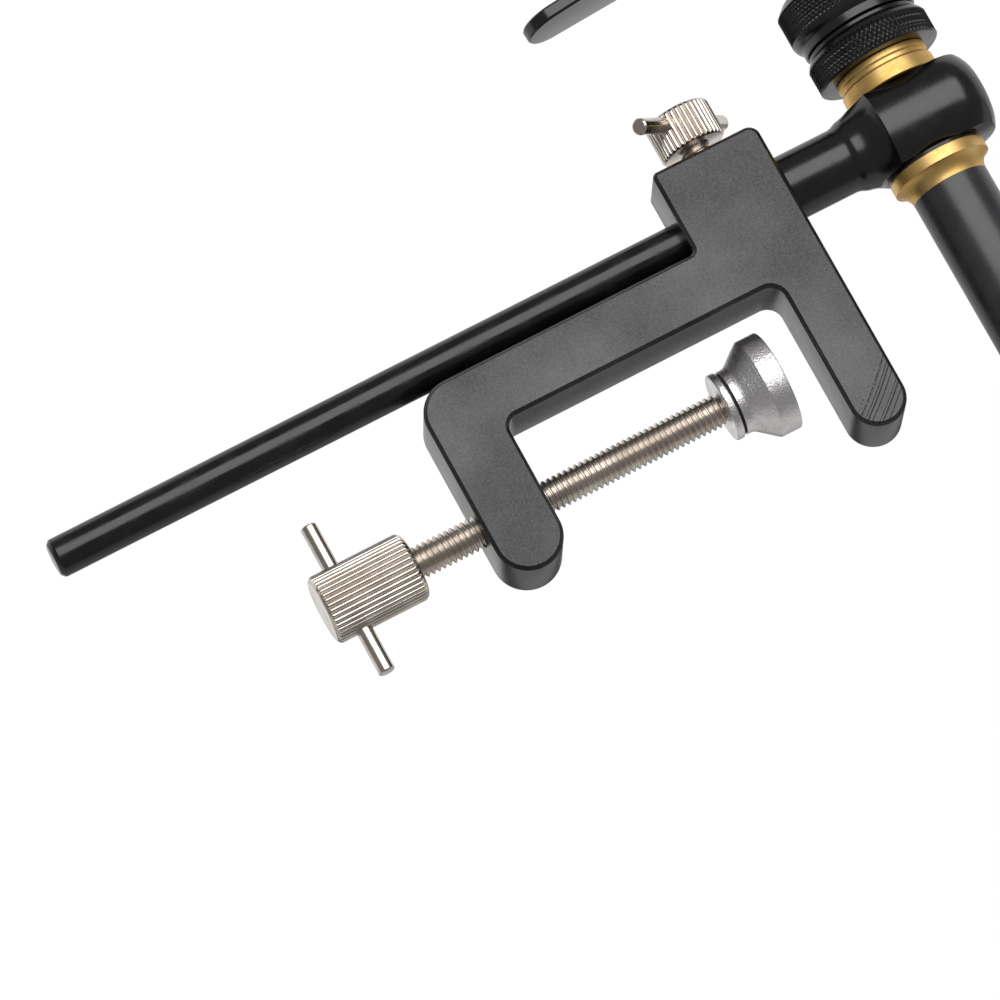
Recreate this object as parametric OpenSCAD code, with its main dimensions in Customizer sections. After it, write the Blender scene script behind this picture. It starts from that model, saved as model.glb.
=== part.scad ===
// Rotary fly tying vise with a C-clamp, drawn at rest as photographed.
// Origin: on the table jaw's flat face, on the clamp screw's axis.
// +Z runs up along the stem to the head, +X out along the clamp's arms and the hook jaws.

/* [Clamp frame] */
// Thickness of the clamp plate, front to back
plate_t = 18.8; // [14:0.1:24]
// Height of the upper arm
upper_arm_h = 13.65; // [10:0.05:18]
// Height of the lower arm
lower_arm_h = 16.5; // [13:0.1:22]
// Height of the block that holds the stem
block_h = 27.2; // [22:0.1:34]
// Free height of the throat
throat_h = 71.4; // [50:0.1:90]
// Width of the spine
spine_w = 15; // [10:0.1:20]
// Air between the stem and the spine
stem_air = 1.25; // [0.6:0.05:3]
// Block behind the stem's surface
block_wall = 10.7; // [8:0.1:15]
// Distance from the stem's axis to the clamp screw's axis
screw_reach = 39.6; // [36:0.1:48]
// Upper arm beyond the clamp screw's axis
upper_arm_past = 23.3; // [16:0.1:30]
// Lower arm beyond the clamp screw's axis
lower_arm_past = 16.3; // [12:0.1:22]
// Corner radius at the top of the block
block_corner_r = 2.8; // [1:0.1:4]
// Corner radius under the block
block_low_r = 1; // [0.5:0.1:2]
// Fillet between the block and the spine
step_r = 1.5; // [0.8:0.1:2.5]
// Corner radius at the heel of the lower arm
heel_r = 8.5; // [4:0.1:10]
// Fillet at the top of the throat
throat_top_r = 4; // [2:0.1:5]
// Fillet at the bottom of the throat
throat_low_r = 3; // [2:0.1:5]

/* [Clamp screw] */
// Radius over the thread's crests
thread_r = 3.97; // [3:0.01:4.5]
// Pitch of the thread
thread_pitch = 1.411; // [1:0.001:2]
// Depth of the thread
thread_depth = 0.78; // [0.3:0.01:1]
// Pad's face below the table jaw at rest
jaw_gap = 9.8; // [5:0.1:14]
// Length of the clamp screw's thread below the pad
screw_len = 79.6; // [72:0.1:92]
// Radius of the knob over its teeth
knob_r = 8.45; // [7:0.05:10]
// Length of the knob
knob_len = 24; // [20:0.1:30]
// Teeth round the knob
knob_teeth = 44; // [30:1:60]
// Depth of the teeth
tooth_depth = 0.5; // [0.2:0.05:0.8]
// Bevel at the ends of a toothed knob
knob_bevel = 0.7; // [0.3:0.05:1.2]
// Screw's grip inside the knob
screw_grip = 12.5; // [9:0.1:14]
// Radius of the tommy bars
bar_r = 2; // [1.5:0.05:2.4]
// Length of the clamp screw's tommy bar
bar_len = 39.2; // [30:0.1:50]
// Bar's axis above the knob's free end
bar_inset = 6.5; // [4:0.1:8]
// Bevel at the ends of bars and rods
end_bevel = 0.4; // [0.2:0.05:0.8]

/* [Pressure pad] */
// Radius of the pad's rim
pad_r = 12.2; // [10:0.1:14]
// Height of the rim
pad_rim_h = 5; // [3:0.1:7]
// Height of the cone under the rim
pad_cone_h = 5.3; // [3:0.1:7]
// Radius of the pad's neck
pad_neck_r = 8; // [7:0.1:9]
// Height of the neck
pad_neck_h = 1.8; // [1:0.1:3]
// Thickness of the rubber ring
pad_ring_t = 0.7; // [0.5:0.05:1.2]
// How far the rubber ring sits inside the neck's edge
pad_ring_step = 0.35; // [0.2:0.05:0.6]
// Radius of the cover disc
pad_disc_r = 8.3; // [7:0.1:9.5]
// Thickness of the cover disc
pad_disc_t = 1.9; // [1.2:0.1:3]
// Radius of the swivel ball
ball_r = 3.9; // [3.2:0.05:4.4]
// Radius of the screw's neck inside the pad
ball_neck_r = 2.4; // [1.8:0.05:2.8]

/* [Stem lock] */
// Radius of the lock knob over its teeth
lock_r = 8.15; // [7:0.05:9]
// Length of the lock knob
lock_len = 9.8; // [8:0.1:12]
// Teeth round the lock knob
lock_teeth = 40; // [30:1:60]
// Lock knob's stand-off from the block
lock_gap = 3.15; // [2:0.05:5]
// Length of the lock screw's tommy bar
lock_bar_len = 37.6; // [28:0.1:44]
// Bar's axis below the lock knob's outer face
lock_bar_inset = 3; // [2.7:0.05:5]
// Turn of the lock screw's bar above level
lock_bar_turn = 38.3; // [0:0.1:180]
// Thickness of the soft tip
tip_t = 2.2; // [1.2:0.1:3]
// Radius of the soft tip
tip_r = 3.5; // [2.5:0.1:3.6]

/* [Stem] */
// Radius of the stem
stem_r = 4.7625; // [4:0.0005:5.5]
// Stem below the table jaw's face
stem_drop = 177.2; // [120:0.1:260]
// Bevel at the stem's free end
stem_bevel = 1; // [0.5:0.1:2]
// Stem's grip inside the head's neck
stem_grip = 22; // [14:0.1:23]

/* [Head housing] */
// Height of the head's axis above the table jaw's face
head_rise = 48.3; // [45:0.1:60]
// Radius of the neck
neck_r = 8; // [7:0.1:9]
// Radius of the housing
housing_r = 13.7; // [12.5:0.1:16]
// Half of the width across the housing's flats
housing_flat = 9.45; // [8:0.05:11]
// Height of the housing's straight wall under the head's axis
wall_below = 9.2; // [8:0.1:12]
// Height of the housing's straight wall over the head's axis
wall_above = 8.7; // [6:0.1:12]
// Height of the hollow shoulder
shoulder_h = 7.9; // [5:0.1:9]
// Radius of the shoulder's hollow
shoulder_hollow_r = 10; // [8:0.1:16]
// Ledge between the neck and the shoulder
shoulder_ledge = 0.9; // [0.3:0.1:1.5]
// Radius of the rounding at the housing's top
crown_r = 9; // [6:0.1:12]
// Height of the rounding at the housing's top
crown_h = 8.3; // [5:0.1:8.9]
// Outer radius of the bushes
bush_r = 9; // [8.6:0.05:9.4]
// Length of each bush
bush_len = 7; // [4:0.1:8]

/* [Barrel] */
// Radius of the barrel's journal in the bushes
journal_r = 8; // [7:0.05:8.4]
// Radius of the barrel in front of the head
barrel_r = 9.5; // [8.6:0.05:11]
// Length of the barrel in front of its collar
barrel_len = 45; // [40:0.1:60]
// Radius of the barrel's bore
barrel_bore_r = 5.2; // [4.8:0.05:6]
// Radius of the front washer
washer_r = 11.4; // [10:0.1:12]
// Thickness of the front washer
washer_t = 0.95; // [0.6:0.05:2]
// Radius of the front collar's rim
collar_r = 12.2; // [11:0.1:13.5]
// Width of the front collar
collar_w = 6.9; // [5.5:0.1:9]
// Radius of the front collar's flare
flare_r = 4.2; // [3:0.1:6]

/* [Rear stack] */
// Radius of the rear collar at the housing
band_r = 11.95; // [11:0.05:13]
// Width of the rear collar's band
band_w = 3.8; // [3:0.1:5]
// Narrowing of the band towards the rear
band_taper = 0.2; // [0:0.05:0.5]
// Radius at the bottom of the collar's groove
groove_r = 11.2; // [10.6:0.05:11.4]
// Width of the collar's groove
groove_w = 1.7; // [1.2:0.1:2.5]
// Radius of the collar's lip
lip_r = 11.55; // [11.4:0.05:12.5]
// Width of the collar's lip
lip_w = 1.6; // [1:0.1:2.5]
// Radius of the drag ring over its knurl
ring_r = 15.45; // [14:0.05:17]
// Width of the drag ring's knurl
ring_knurl_w = 6.2; // [5:0.1:8]
// Width of the bevel behind the drag ring's knurl
ring_bevel_w = 1.9; // [1:0.1:3]
// Radius of the drag ring's plain step
ring_step_r = 13.95; // [12:0.05:14.2]
// Width of the drag ring's plain step
ring_step_w = 1; // [0.5:0.1:2]
// Radius of the rotation knob over its knurl
turn_r = 15.85; // [14:0.05:18]
// Radius of the rotation knob's plain neck
turn_neck_r = 14.4; // [13:0.05:15]
// Width of the rotation knob's plain neck
turn_neck_w = 2.1; // [1:0.1:4]
// Width of the rounded shoulder behind the neck
turn_shoulder_w = 2.2; // [1:0.1:4]
// Width of the rotation knob's knurl
turn_knurl_w = 7.2; // [5:0.1:12]
// Width of the rotation knob's rear bevel
turn_bevel_w = 3.8; // [2:0.1:6]
// Radius of the rotation knob's rear face
turn_rear_r = 11; // [10:0.1:13]
// Bulge of the rear bevel
turn_bulge = 0.5; // [0:0.05:1]
// Barrel showing between the rotation knob and the adjuster
rear_gap = 4.9; // [3:0.1:10]

/* [Hook size adjuster] */
// Radius of the adjuster over its teeth
adjuster_r = 11.5; // [10.2:0.1:14]
// Width of the adjuster
adjuster_w = 11; // [9:0.1:16]
// Teeth round the adjuster
adjuster_teeth = 60; // [40:1:72]
// Radius of the thrust washer
thrust_r = 9; // [8:0.1:9.4]
// Thickness of the thrust washer
thrust_t = 1.3; // [0.8:0.1:2.5]
// Travel of the adjuster along the barrel
adjuster_travel = 1; // [0.5:0.1:2]

/* [Drawbar] */
// Radius of the drawbar
drawbar_r = 2.5; // [2:0.05:2.9]
// Travel of the drawbar between shut and open jaws
drawbar_travel = 2; // [1:0.1:3]
// Width of the drawbar's eye
eye_w = 6; // [4:0.1:7]
// Radius of the drawbar's eye
eye_r = 5; // [4:0.1:5.5]
// Radius of the cam pin
cam_pin_r = 2; // [1.5:0.05:2.5]
// Outer radius of the return spring
spring_r = 4.6; // [4.2:0.05:5]
// Thickness of the spring's wire
spring_wire = 0.9; // [0.6:0.05:1.2]
// Length of the return spring, squeezed
spring_len = 18; // [12:0.1:24]
// Thickness of the spring seat
seat_t = 2; // [1.2:0.1:4]

/* [Cam lever] */
// Radius of the cam
cam_r = 8.65; // [7.5:0.05:10]
// Half of the cam's lift
cam_lift = 1; // [0.5:0.05:1.5]
// Width of the lever
lever_w = 18.6; // [15:0.1:24]
// Thickness of the lever's blade
lever_t = 3.2; // [2:0.1:5]
// Length of the lever from its pin
lever_len = 70.2; // [45:0.1:90]
// Radius of the lever's rounded end
lever_end_r = 7.7; // [6:0.1:12]
// Length of the lever's taper above its rounded end
lever_taper = 19; // [10:0.5:30]
// Lean of the lever towards the clamp at rest
lever_lean = 5; // [0:0.1:10]

/* [Hook jaws] */
// Radius of the jaws' shanks
jaw_r = 4.2; // [3.6:0.05:4.6]
// Length of the jaws' cone
jaw_cone_len = 12.5; // [8:0.1:16]
// Slope of the jaws' cone
jaw_slope = 9; // [5:0.1:12]
// Length of the jaws beyond the sleeve
jaw_reach = 21; // [12:0.1:30]
// Radius of the jaws' tip
jaw_tip_r = 1.5; // [0.8:0.1:2.5]
// Length of the closing sleeve in front of the barrel
sleeve_len = 14; // [11:0.1:20]
// Radius of the closing sleeve's front face
sleeve_tip_r = 7.6; // [7.3:0.1:9]

/* [Hidden] */
$fn = 96;

// Clearances
run_fit = 0.05;
press_fit = 0.01;
face_fit = 0.05;
free_gap = 0.3;
stem_fit = 0.04;
over = 1;

// Clamp frame, measured from the origin
stem_x = -screw_reach;
spine_out_x = stem_x + stem_r + stem_air;
spine_in_x = spine_out_x + spine_w;
block_x = stem_x - stem_r - block_wall;
block_z = upper_arm_h - block_h;
throat_z = -throat_h;
heel_z = throat_z - lower_arm_h;
upper_tip_r = upper_arm_h / 2;
lower_tip_r = lower_arm_h / 2;
upper_tip_x = upper_arm_past - upper_tip_r;
lower_tip_x = lower_arm_past - lower_tip_r;
lock_z = upper_arm_h - block_h / 2;
thread_hole_r = thread_r + run_fit;

// Clamp screw and pad, heights from the origin
rim_z = -jaw_gap;
cone_z = rim_z - pad_rim_h;
pad_neck_z = cone_z - pad_cone_h;
pad_ring_z = pad_neck_z - pad_neck_h;
pad_disc_z = pad_ring_z - pad_ring_t;
pad_rear_z = pad_disc_z - pad_disc_t;
screw_top_z = pad_rear_z - free_gap;
knob_z = screw_top_z - screw_len;
knob_end_z = knob_z - knob_len;
bar_z = knob_end_z + bar_inset;
socket_play = 0.03;
socket_r = ball_r + socket_play + run_fit;
boss_r = 6;
boss_shoulder = 0.7;
boss_rise = pad_ring_t + boss_shoulder;
ball_z = pad_disc_z + boss_rise + ball_r + free_gap;
pad_bevel = 0.5;
thread_crest_share = 0.1;
thread_root_share = 0.14;
tooth_spare = 0.2;

// Stem lock, measured along X
lock_x = block_x - lock_gap;
lock_end_x = lock_x - lock_len;
lock_bar_x = lock_end_x + lock_bar_inset;
tip_x = stem_x - stem_r - run_fit;
lock_screw_x = tip_x - tip_t;
lock_grip_x = lock_bar_x + bar_r + free_gap;

// Head housing
neck_z = upper_arm_h + face_fit;
neck_top_z = head_rise - wall_below - shoulder_h;
stem_top_z = upper_arm_h + stem_grip;
shoulder_r = neck_r + shoulder_ledge;
crown_z = head_rise + wall_above;
roof_z = crown_z + crown_h;
grub_r = 2;
grub_hex_r = 1.15;
grub_len = 3;
stem_grub_z = upper_arm_h + stem_grip / 2;

// Stations along the head's axis, from the stem's axis
washer_x = housing_flat + face_fit;
collar_x = washer_x + washer_t;
barrel_x = collar_x + collar_w;
barrel_front_x = barrel_x + barrel_len;
band_x = -housing_flat - face_fit;
lip_x = band_x - band_w - groove_w;
ring_x = lip_x - lip_w;
ring_bevel_x = ring_x - ring_knurl_w;
ring_step_x = ring_bevel_x - ring_bevel_w;
ring_rear_x = ring_step_x - ring_step_w;
turn_x = ring_rear_x - free_gap;
turn_shoulder_x = turn_x - turn_neck_w;
turn_knurl_x = turn_shoulder_x - turn_shoulder_w;
turn_bevel_x = turn_knurl_x - turn_knurl_w;
turn_rear_x = turn_bevel_x - turn_bevel_w;
knob_grub_x = (turn_knurl_x + turn_bevel_x) / 2;
knob_grub_len = 6.8;
adjuster_x = turn_rear_x - rear_gap;
adjuster_rear_x = adjuster_x - adjuster_w;
thrust_sunk = thrust_t / 2;
thrust_rear_x = adjuster_rear_x - thrust_t + thrust_sunk;
adjuster_wall = 3;
barrel_rear_x = adjuster_rear_x + adjuster_wall + adjuster_travel + free_gap;
cam_gap = 0.15;
blade_step = 0.15;
pin_x = thrust_rear_x - cam_gap - cam_r - cam_lift;
edge_r = 0.4;

// Drag washer, sunk in the rear collar
drag_washer_t = 1;
drag_washer_r = 10.6;
drag_washer_sink = drag_washer_t + face_fit;

// Drawbar and spring
guide_len = 6;
guide_x = barrel_rear_x + guide_len;
seat_x = guide_x + spring_len;
seat_r = barrel_bore_r - free_gap;
carrier_len = 14;
carrier_depth = 40;
carrier_x = barrel_front_x - carrier_depth;
carrier_front_x = carrier_x + carrier_len;
carrier_grip = 4;
carrier_r = barrel_bore_r - run_fit;
eye_x = thrust_rear_x - drawbar_travel - 2 * free_gap;
eye_grip = 1.5;

// Hook jaws
jaw_pivot_depth = 10;
jaw_pivot_x = carrier_x + jaw_pivot_depth;
jaw_pivot_y = 1.8;
jaw_pin_r = 0.9;
jaw_pin_len = 8.3;
jaw_split = 0.1;
jaw_land = 1;
jaw_tail_h = 4;
jaw_tail_r = 1.5;
jaw_neck_out = 2;
cone_start_x = barrel_front_x + jaw_neck_out;
cone_end_x = cone_start_x + jaw_cone_len;
cone_end_r = jaw_r + jaw_cone_len * tan(jaw_slope);
jaw_tip_x = cone_end_x + jaw_reach;
sleeve_x = barrel_front_x + sleeve_len;
sleeve_spigot = 7.5;
sleeve_spigot_r = 7;
cone_clear = 0.12;
jaw_spring_r = 1.4;
jaw_spring_out = 12;
jaw_spring_x = carrier_front_x + jaw_spring_out;
jaw_spring_depth = 2;

// Puts a piece drawn along Z onto the head's axis, with its zero at station x
module on_head_axis(x = 0) {
    translate([stem_x + x, 0, head_rise]) rotate([0, 90, 0]) children();
}

// Puts a piece drawn along Z onto the lock screw's axis, pointing to the stem
module on_lock_axis(x) {
    translate([x, 0, lock_z]) rotate([0, 90, 0]) children();
}

// Solid of revolution about Z from a list of [radius, height] points
module turned(points) {
    rotate_extrude() polygon(points);
}

// Round bar along Z with bevelled ends
module bevelled_bar(r, length, bevel) {
    turned([[0, 0], [r - bevel, 0], [r, bevel], [r, length - bevel], [r - bevel, length], [0, length]]);
}

// Plain ring along Z
module ring(r, bore, height) {
    difference() {
        cylinder(r = r, h = height);
        translate([0, 0, -over]) cylinder(r = bore, h = height + 2 * over);
    }
}

// Outline of a knob with pointed teeth
module toothed_outline(r, depth, teeth) {
    polygon([for (i = [0 : 2 * teeth - 1])
        let (a = i * 180 / teeth, q = i % 2 == 0 ? r : r - depth) [q * cos(a), q * sin(a)]]);
}

// Toothed knob along Z with bevelled ends
module toothed_knob(r, length, teeth) {
    intersection() {
        linear_extrude(length) toothed_outline(r, tooth_depth, teeth);
        bevelled_bar(r + tooth_spare, length, knob_bevel + tooth_spare);
    }
}

// Threaded rod along Z, drawn as rings of the thread's pitch
module threaded_rod(length) {
    turns = floor(length / thread_pitch);
    root_r = thread_r - thread_depth;
    crest = thread_pitch * thread_crest_share;
    flank = thread_pitch * (1 - thread_crest_share - thread_root_share) / 2;
    turned(concat([[0, 0]],
        [for (i = [0 : turns - 1]) each [
            [root_r, i * thread_pitch],
            [thread_r, i * thread_pitch + flank],
            [thread_r, i * thread_pitch + flank + crest],
            [root_r, i * thread_pitch + 2 * flank + crest]]],
        [[root_r, length], [0, length]]));
}

// Grub screw with a hexagon socket, along Z with its socket up
module grub(length) {
    difference() {
        bevelled_bar(grub_r, length, end_bevel);
        translate([0, 0, length - grub_r]) cylinder(r = grub_hex_r, h = grub_r + over, $fn = 6);
    }
}

// Rounds a square outline's corner that points up and right, at the origin
module corner_cut(r) {
    difference() {
        translate([-r, -r]) square(r + over);
        translate([-r, -r]) circle(r);
    }
}

// Fills an inner corner whose walls run up and right from the origin
module inner_fillet(r) {
    difference() {
        translate([-over, -over]) square(r + over);
        translate([r, r]) circle(r);
    }
}

// Outline of the C-clamp in X and Z
module clamp_outline() {
    difference() {
        union() {
            translate([block_x, block_z]) square([spine_in_x - block_x, block_h]);
            translate([spine_out_x, 0]) square([upper_tip_x - spine_out_x, upper_arm_h]);
            translate([upper_tip_x, upper_tip_r]) circle(upper_tip_r);
            translate([spine_out_x, heel_z]) square([spine_w, upper_arm_h - heel_z]);
            translate([spine_out_x, heel_z]) square([lower_tip_x - spine_out_x, lower_arm_h]);
            translate([lower_tip_x, heel_z + lower_tip_r]) circle(lower_tip_r);
            translate([spine_in_x, 0]) mirror([0, 1]) inner_fillet(throat_top_r);
            translate([spine_in_x, throat_z]) inner_fillet(throat_low_r);
            translate([spine_out_x, block_z]) mirror([1, 0]) mirror([0, 1]) inner_fillet(step_r);
        }
        translate([block_x, upper_arm_h]) mirror([1, 0]) corner_cut(block_corner_r);
        translate([block_x, block_z]) mirror([1, 0]) mirror([0, 1]) corner_cut(block_low_r);
        translate([spine_out_x, heel_z]) mirror([1, 0]) mirror([0, 1]) corner_cut(heel_r);
    }
}

module clamp_frame() {
    color("#3b3a3b") difference() {
        translate([0, plate_t / 2, 0]) rotate([90, 0, 0]) linear_extrude(plate_t) clamp_outline();
        translate([stem_x, 0, block_z - over]) cylinder(r = stem_r + stem_fit, h = block_h + 2 * over);
        translate([0, 0, heel_z - over]) cylinder(r = thread_hole_r, h = lower_arm_h + 2 * over);
        on_lock_axis(block_x - over) cylinder(r = thread_hole_r, h = stem_x - block_x + over);
    }
}

module lock_tip() {
    color("#d8cfa8") on_lock_axis(lock_screw_x) bevelled_bar(tip_r, tip_t, end_bevel);
}

module lock_screw() {
    color("#b9afa4") on_lock_axis(lock_grip_x)
        threaded_rod(lock_screw_x - face_fit - lock_grip_x);
}

module lock_knob() {
    color("#cfc6bb") on_lock_axis(lock_end_x) difference() {
        toothed_knob(lock_r, lock_len, lock_teeth);
        translate([0, 0, lock_grip_x - lock_end_x]) cylinder(r = thread_r + press_fit, h = lock_len);
        translate([0, 0, lock_bar_inset]) rotate([90, 0, lock_bar_turn])
            cylinder(r = bar_r + press_fit, h = lock_bar_len, center = true);
    }
}

module lock_tommy_bar() {
    color("#c8c0b6") on_lock_axis(lock_bar_x) rotate([90, 0, lock_bar_turn])
        translate([0, 0, -lock_bar_len / 2]) bevelled_bar(bar_r, lock_bar_len, end_bevel);
}

module pressure_pad() {
    socket_top = ball_z + ball_r + free_gap;
    color("#d4d6d8") difference() {
        turned([[0, pad_ring_z], [pad_neck_r, pad_ring_z], [pad_neck_r, pad_neck_z], [pad_r, cone_z],
            [pad_r, rim_z - pad_bevel], [pad_r - pad_bevel, rim_z], [0, rim_z]]);
        translate([0, 0, pad_ring_z - over]) cylinder(r = socket_r, h = socket_top - pad_ring_z + over);
        translate([0, 0, pad_ring_z - over])
            cylinder(r = boss_r + press_fit, h = pad_disc_z + boss_rise - pad_ring_z + over + face_fit);
    }
}

module pad_ring() {
    color("#151515") translate([0, 0, pad_disc_z])
        ring(pad_neck_r - pad_ring_step, boss_r + press_fit, pad_ring_t);
}

module pad_cover_disc() {
    color("#c6c8ca") difference() {
        union() {
            translate([0, 0, pad_rear_z]) bevelled_bar(pad_disc_r, pad_disc_t, end_bevel);
            translate([0, 0, pad_disc_z - end_bevel]) cylinder(r = boss_r, h = boss_rise + end_bevel);
        }
        translate([0, 0, pad_rear_z - over])
            cylinder(r = ball_neck_r + free_gap, h = pad_disc_t + boss_rise + 2 * over);
    }
}

module clamp_screw() {
    neck_top = ball_z + ball_r / 2;
    color("#b3a698") {
        translate([0, 0, knob_z - screw_grip]) threaded_rod(screw_len + screw_grip);
        translate([0, 0, screw_top_z - end_bevel]) cylinder(r = ball_neck_r, h = neck_top - screw_top_z + end_bevel);
    }
}

module pad_ball() {
    color("#9a9a9c") difference() {
        translate([0, 0, ball_z]) sphere(ball_r);
        translate([0, 0, ball_z - 2 * ball_r]) cylinder(r = ball_neck_r + press_fit, h = 5 * ball_r / 2);
    }
}

module clamp_knob() {
    color("#cfc6bb") difference() {
        translate([0, 0, knob_end_z]) toothed_knob(knob_r, knob_len, knob_teeth);
        translate([0, 0, knob_z - screw_grip]) cylinder(r = thread_r + press_fit, h = screw_grip + over);
        translate([0, 0, bar_z]) rotate([0, 90, 0])
            cylinder(r = bar_r + press_fit, h = bar_len, center = true);
    }
}

module clamp_tommy_bar() {
    color("#c8c0b6") translate([-bar_len / 2, 0, bar_z]) rotate([0, 90, 0])
        bevelled_bar(bar_r, bar_len, end_bevel);
}

module stem() {
    color("#161617") translate([stem_x, 0, -stem_drop])
        bevelled_bar(stem_r, stem_drop + stem_top_z, stem_bevel);
}

// Half section of the housing about the stem's axis, without its flats
module housing_profile() {
    chord = [housing_r - shoulder_r, shoulder_h];
    half = norm(chord) / 2;
    lift = sqrt(shoulder_hollow_r * shoulder_hollow_r - half * half) / (2 * half);
    hollow_r = (housing_r + shoulder_r) / 2 + lift * chord[1];
    hollow_z = neck_top_z + shoulder_h / 2 - lift * chord[0];
    difference() {
        polygon([[0, neck_z], [neck_r, neck_z], [neck_r, neck_top_z], [shoulder_r, neck_top_z],
            [housing_r, neck_top_z], [housing_r, crown_z], [0, crown_z]]);
        intersection() {
            translate([hollow_r, hollow_z]) circle(shoulder_hollow_r);
            translate([neck_r, neck_top_z - over]) square([housing_r, shoulder_h + over]);
        }
    }
    translate([0, crown_z - over]) square([housing_r - crown_r, crown_h + over]);
    intersection() {
        translate([housing_r - crown_r, crown_z]) circle(crown_r);
        translate([0, crown_z - over]) square([housing_r, crown_h + over]);
    }
}

module head_housing() {
    color("#1b1b1d") difference() {
        translate([stem_x, 0, 0]) intersection() {
            rotate_extrude() housing_profile();
            translate([-housing_flat, -housing_r, 0]) cube([2 * housing_flat, 2 * housing_r, roof_z]);
        }
        translate([stem_x, 0, upper_arm_h - over])
            cylinder(r = stem_r + stem_fit, h = stem_grip + over + free_gap);
        on_head_axis(-housing_flat - over) cylinder(r = bush_r + press_fit, h = 2 * (housing_flat + over));
        translate([stem_x, 0, stem_grub_z]) rotate([-90, 0, 0])
            cylinder(r = grub_r + press_fit, h = neck_r + over);
    }
}

module stem_set_screw() {
    color("#2a2a2c") translate([stem_x, stem_r + face_fit, stem_grub_z]) rotate([-90, 0, 0]) grub(grub_len);
}

module front_bush() {
    color("#b08d57") on_head_axis(housing_flat - bush_len) ring(bush_r, journal_r + run_fit, bush_len);
}

module rear_bush() {
    color("#b08d57") on_head_axis(-housing_flat) ring(bush_r, journal_r + run_fit, bush_len);
}

module barrel() {
    nose_x = barrel_front_x - sleeve_spigot;
    color("#1d1d1f") on_head_axis() difference() {
        turned([[0, barrel_rear_x], [journal_r - end_bevel, barrel_rear_x],
            [journal_r, barrel_rear_x + end_bevel], [journal_r, barrel_x], [barrel_r, barrel_x],
            [barrel_r, barrel_front_x], [0, barrel_front_x]]);
        translate([0, 0, barrel_rear_x - over]) cylinder(r = drawbar_r + run_fit, h = guide_len + 2 * over);
        translate([0, 0, guide_x]) cylinder(r = barrel_bore_r, h = barrel_front_x - guide_x + over);
        translate([0, 0, nose_x]) cylinder(r = sleeve_spigot_r + press_fit, h = sleeve_spigot + over);
    }
}

module front_washer() {
    color("#101011") on_head_axis(washer_x) ring(washer_r, journal_r + press_fit, washer_t);
}

module front_collar() {
    color("#d9a441") on_head_axis(collar_x) difference() {
        rotate_extrude() difference() {
            polygon([[0, 0], [collar_r - edge_r, 0], [collar_r, edge_r], [collar_r, collar_w],
                [0, collar_w]]);
            translate([barrel_r + flare_r, collar_w]) circle(flare_r);
        }
        translate([0, 0, -over]) cylinder(r = journal_r + press_fit, h = collar_w + 2 * over);
    }
}

module rear_collar() {
    color("#d9a441") on_head_axis() difference() {
        turned([[0, band_x], [band_r, band_x], [band_r - band_taper, band_x - band_w],
            [groove_r, band_x - band_w - edge_r], [groove_r, lip_x + edge_r], [lip_r, lip_x],
            [lip_r, ring_x + edge_r], [lip_r - edge_r, ring_x], [0, ring_x]]);
        translate([0, 0, ring_x - over]) cylinder(r = journal_r + press_fit, h = band_x - ring_x + 2 * over);
        translate([0, 0, band_x - drag_washer_sink])
            cylinder(r = drag_washer_r + press_fit, h = drag_washer_sink + over);
    }
}

module drag_washer() {
    color("#e6e2d6") on_head_axis(band_x - drag_washer_t)
        ring(drag_washer_r, journal_r + press_fit, drag_washer_t);
}

module drag_ring() {
    color("#19191b") on_head_axis() difference() {
        turned([[0, ring_x - face_fit], [ring_r - edge_r, ring_x - face_fit],
            [ring_r, ring_x - face_fit - edge_r], [ring_r, ring_bevel_x],
            [ring_step_r, ring_step_x], [ring_step_r, ring_rear_x], [0, ring_rear_x]]);
        translate([0, 0, ring_rear_x - over])
            cylinder(r = journal_r + run_fit, h = ring_x - ring_rear_x + 2 * over);
    }
}

module rotation_knob() {
    bevel_r = (turn_r + turn_rear_r) / 2 + turn_bulge;
    color("#19191b") on_head_axis() difference() {
        turned([[0, turn_x], [turn_neck_r, turn_x], [turn_neck_r, turn_shoulder_x],
            [turn_r - edge_r, turn_shoulder_x - turn_shoulder_w / 2], [turn_r, turn_knurl_x],
            [turn_r, turn_bevel_x], [bevel_r, (turn_bevel_x + turn_rear_x) / 2],
            [turn_rear_r, turn_rear_x], [0, turn_rear_x]]);
        translate([0, 0, turn_rear_x - over])
            cylinder(r = journal_r + press_fit, h = turn_x - turn_rear_x + 2 * over);
        translate([0, 0, knob_grub_x]) rotate([-90, 0, 0]) cylinder(r = grub_r + press_fit, h = turn_r + over);
    }
}

module knob_set_screw() {
    color("#2a2a2c") on_head_axis(knob_grub_x) translate([0, journal_r + face_fit, 0])
        rotate([-90, 0, 0]) grub(knob_grub_len);
}

module closing_sleeve() {
    bore_x = barrel_front_x - sleeve_spigot + free_gap;
    cone_r = jaw_r + cone_clear;
    color("#8d8f92") on_head_axis() difference() {
        turned([[0, bore_x], [sleeve_spigot_r, bore_x], [sleeve_spigot_r, barrel_front_x],
            [barrel_r, barrel_front_x], [sleeve_tip_r, sleeve_x - edge_r],
            [sleeve_tip_r - edge_r, sleeve_x], [0, sleeve_x]]);
        // The wide bore reaches as far as the jaws' necks swing out
        translate([0, 0, bore_x - over])
            cylinder(r = barrel_bore_r, h = cone_start_x + drawbar_travel - bore_x + over);
        translate([0, 0, cone_start_x]) turned([[0, 0], [cone_r, 0],
            [cone_r + 2 * sleeve_len * tan(jaw_slope), 2 * sleeve_len], [0, 2 * sleeve_len]]);
    }
}

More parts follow.
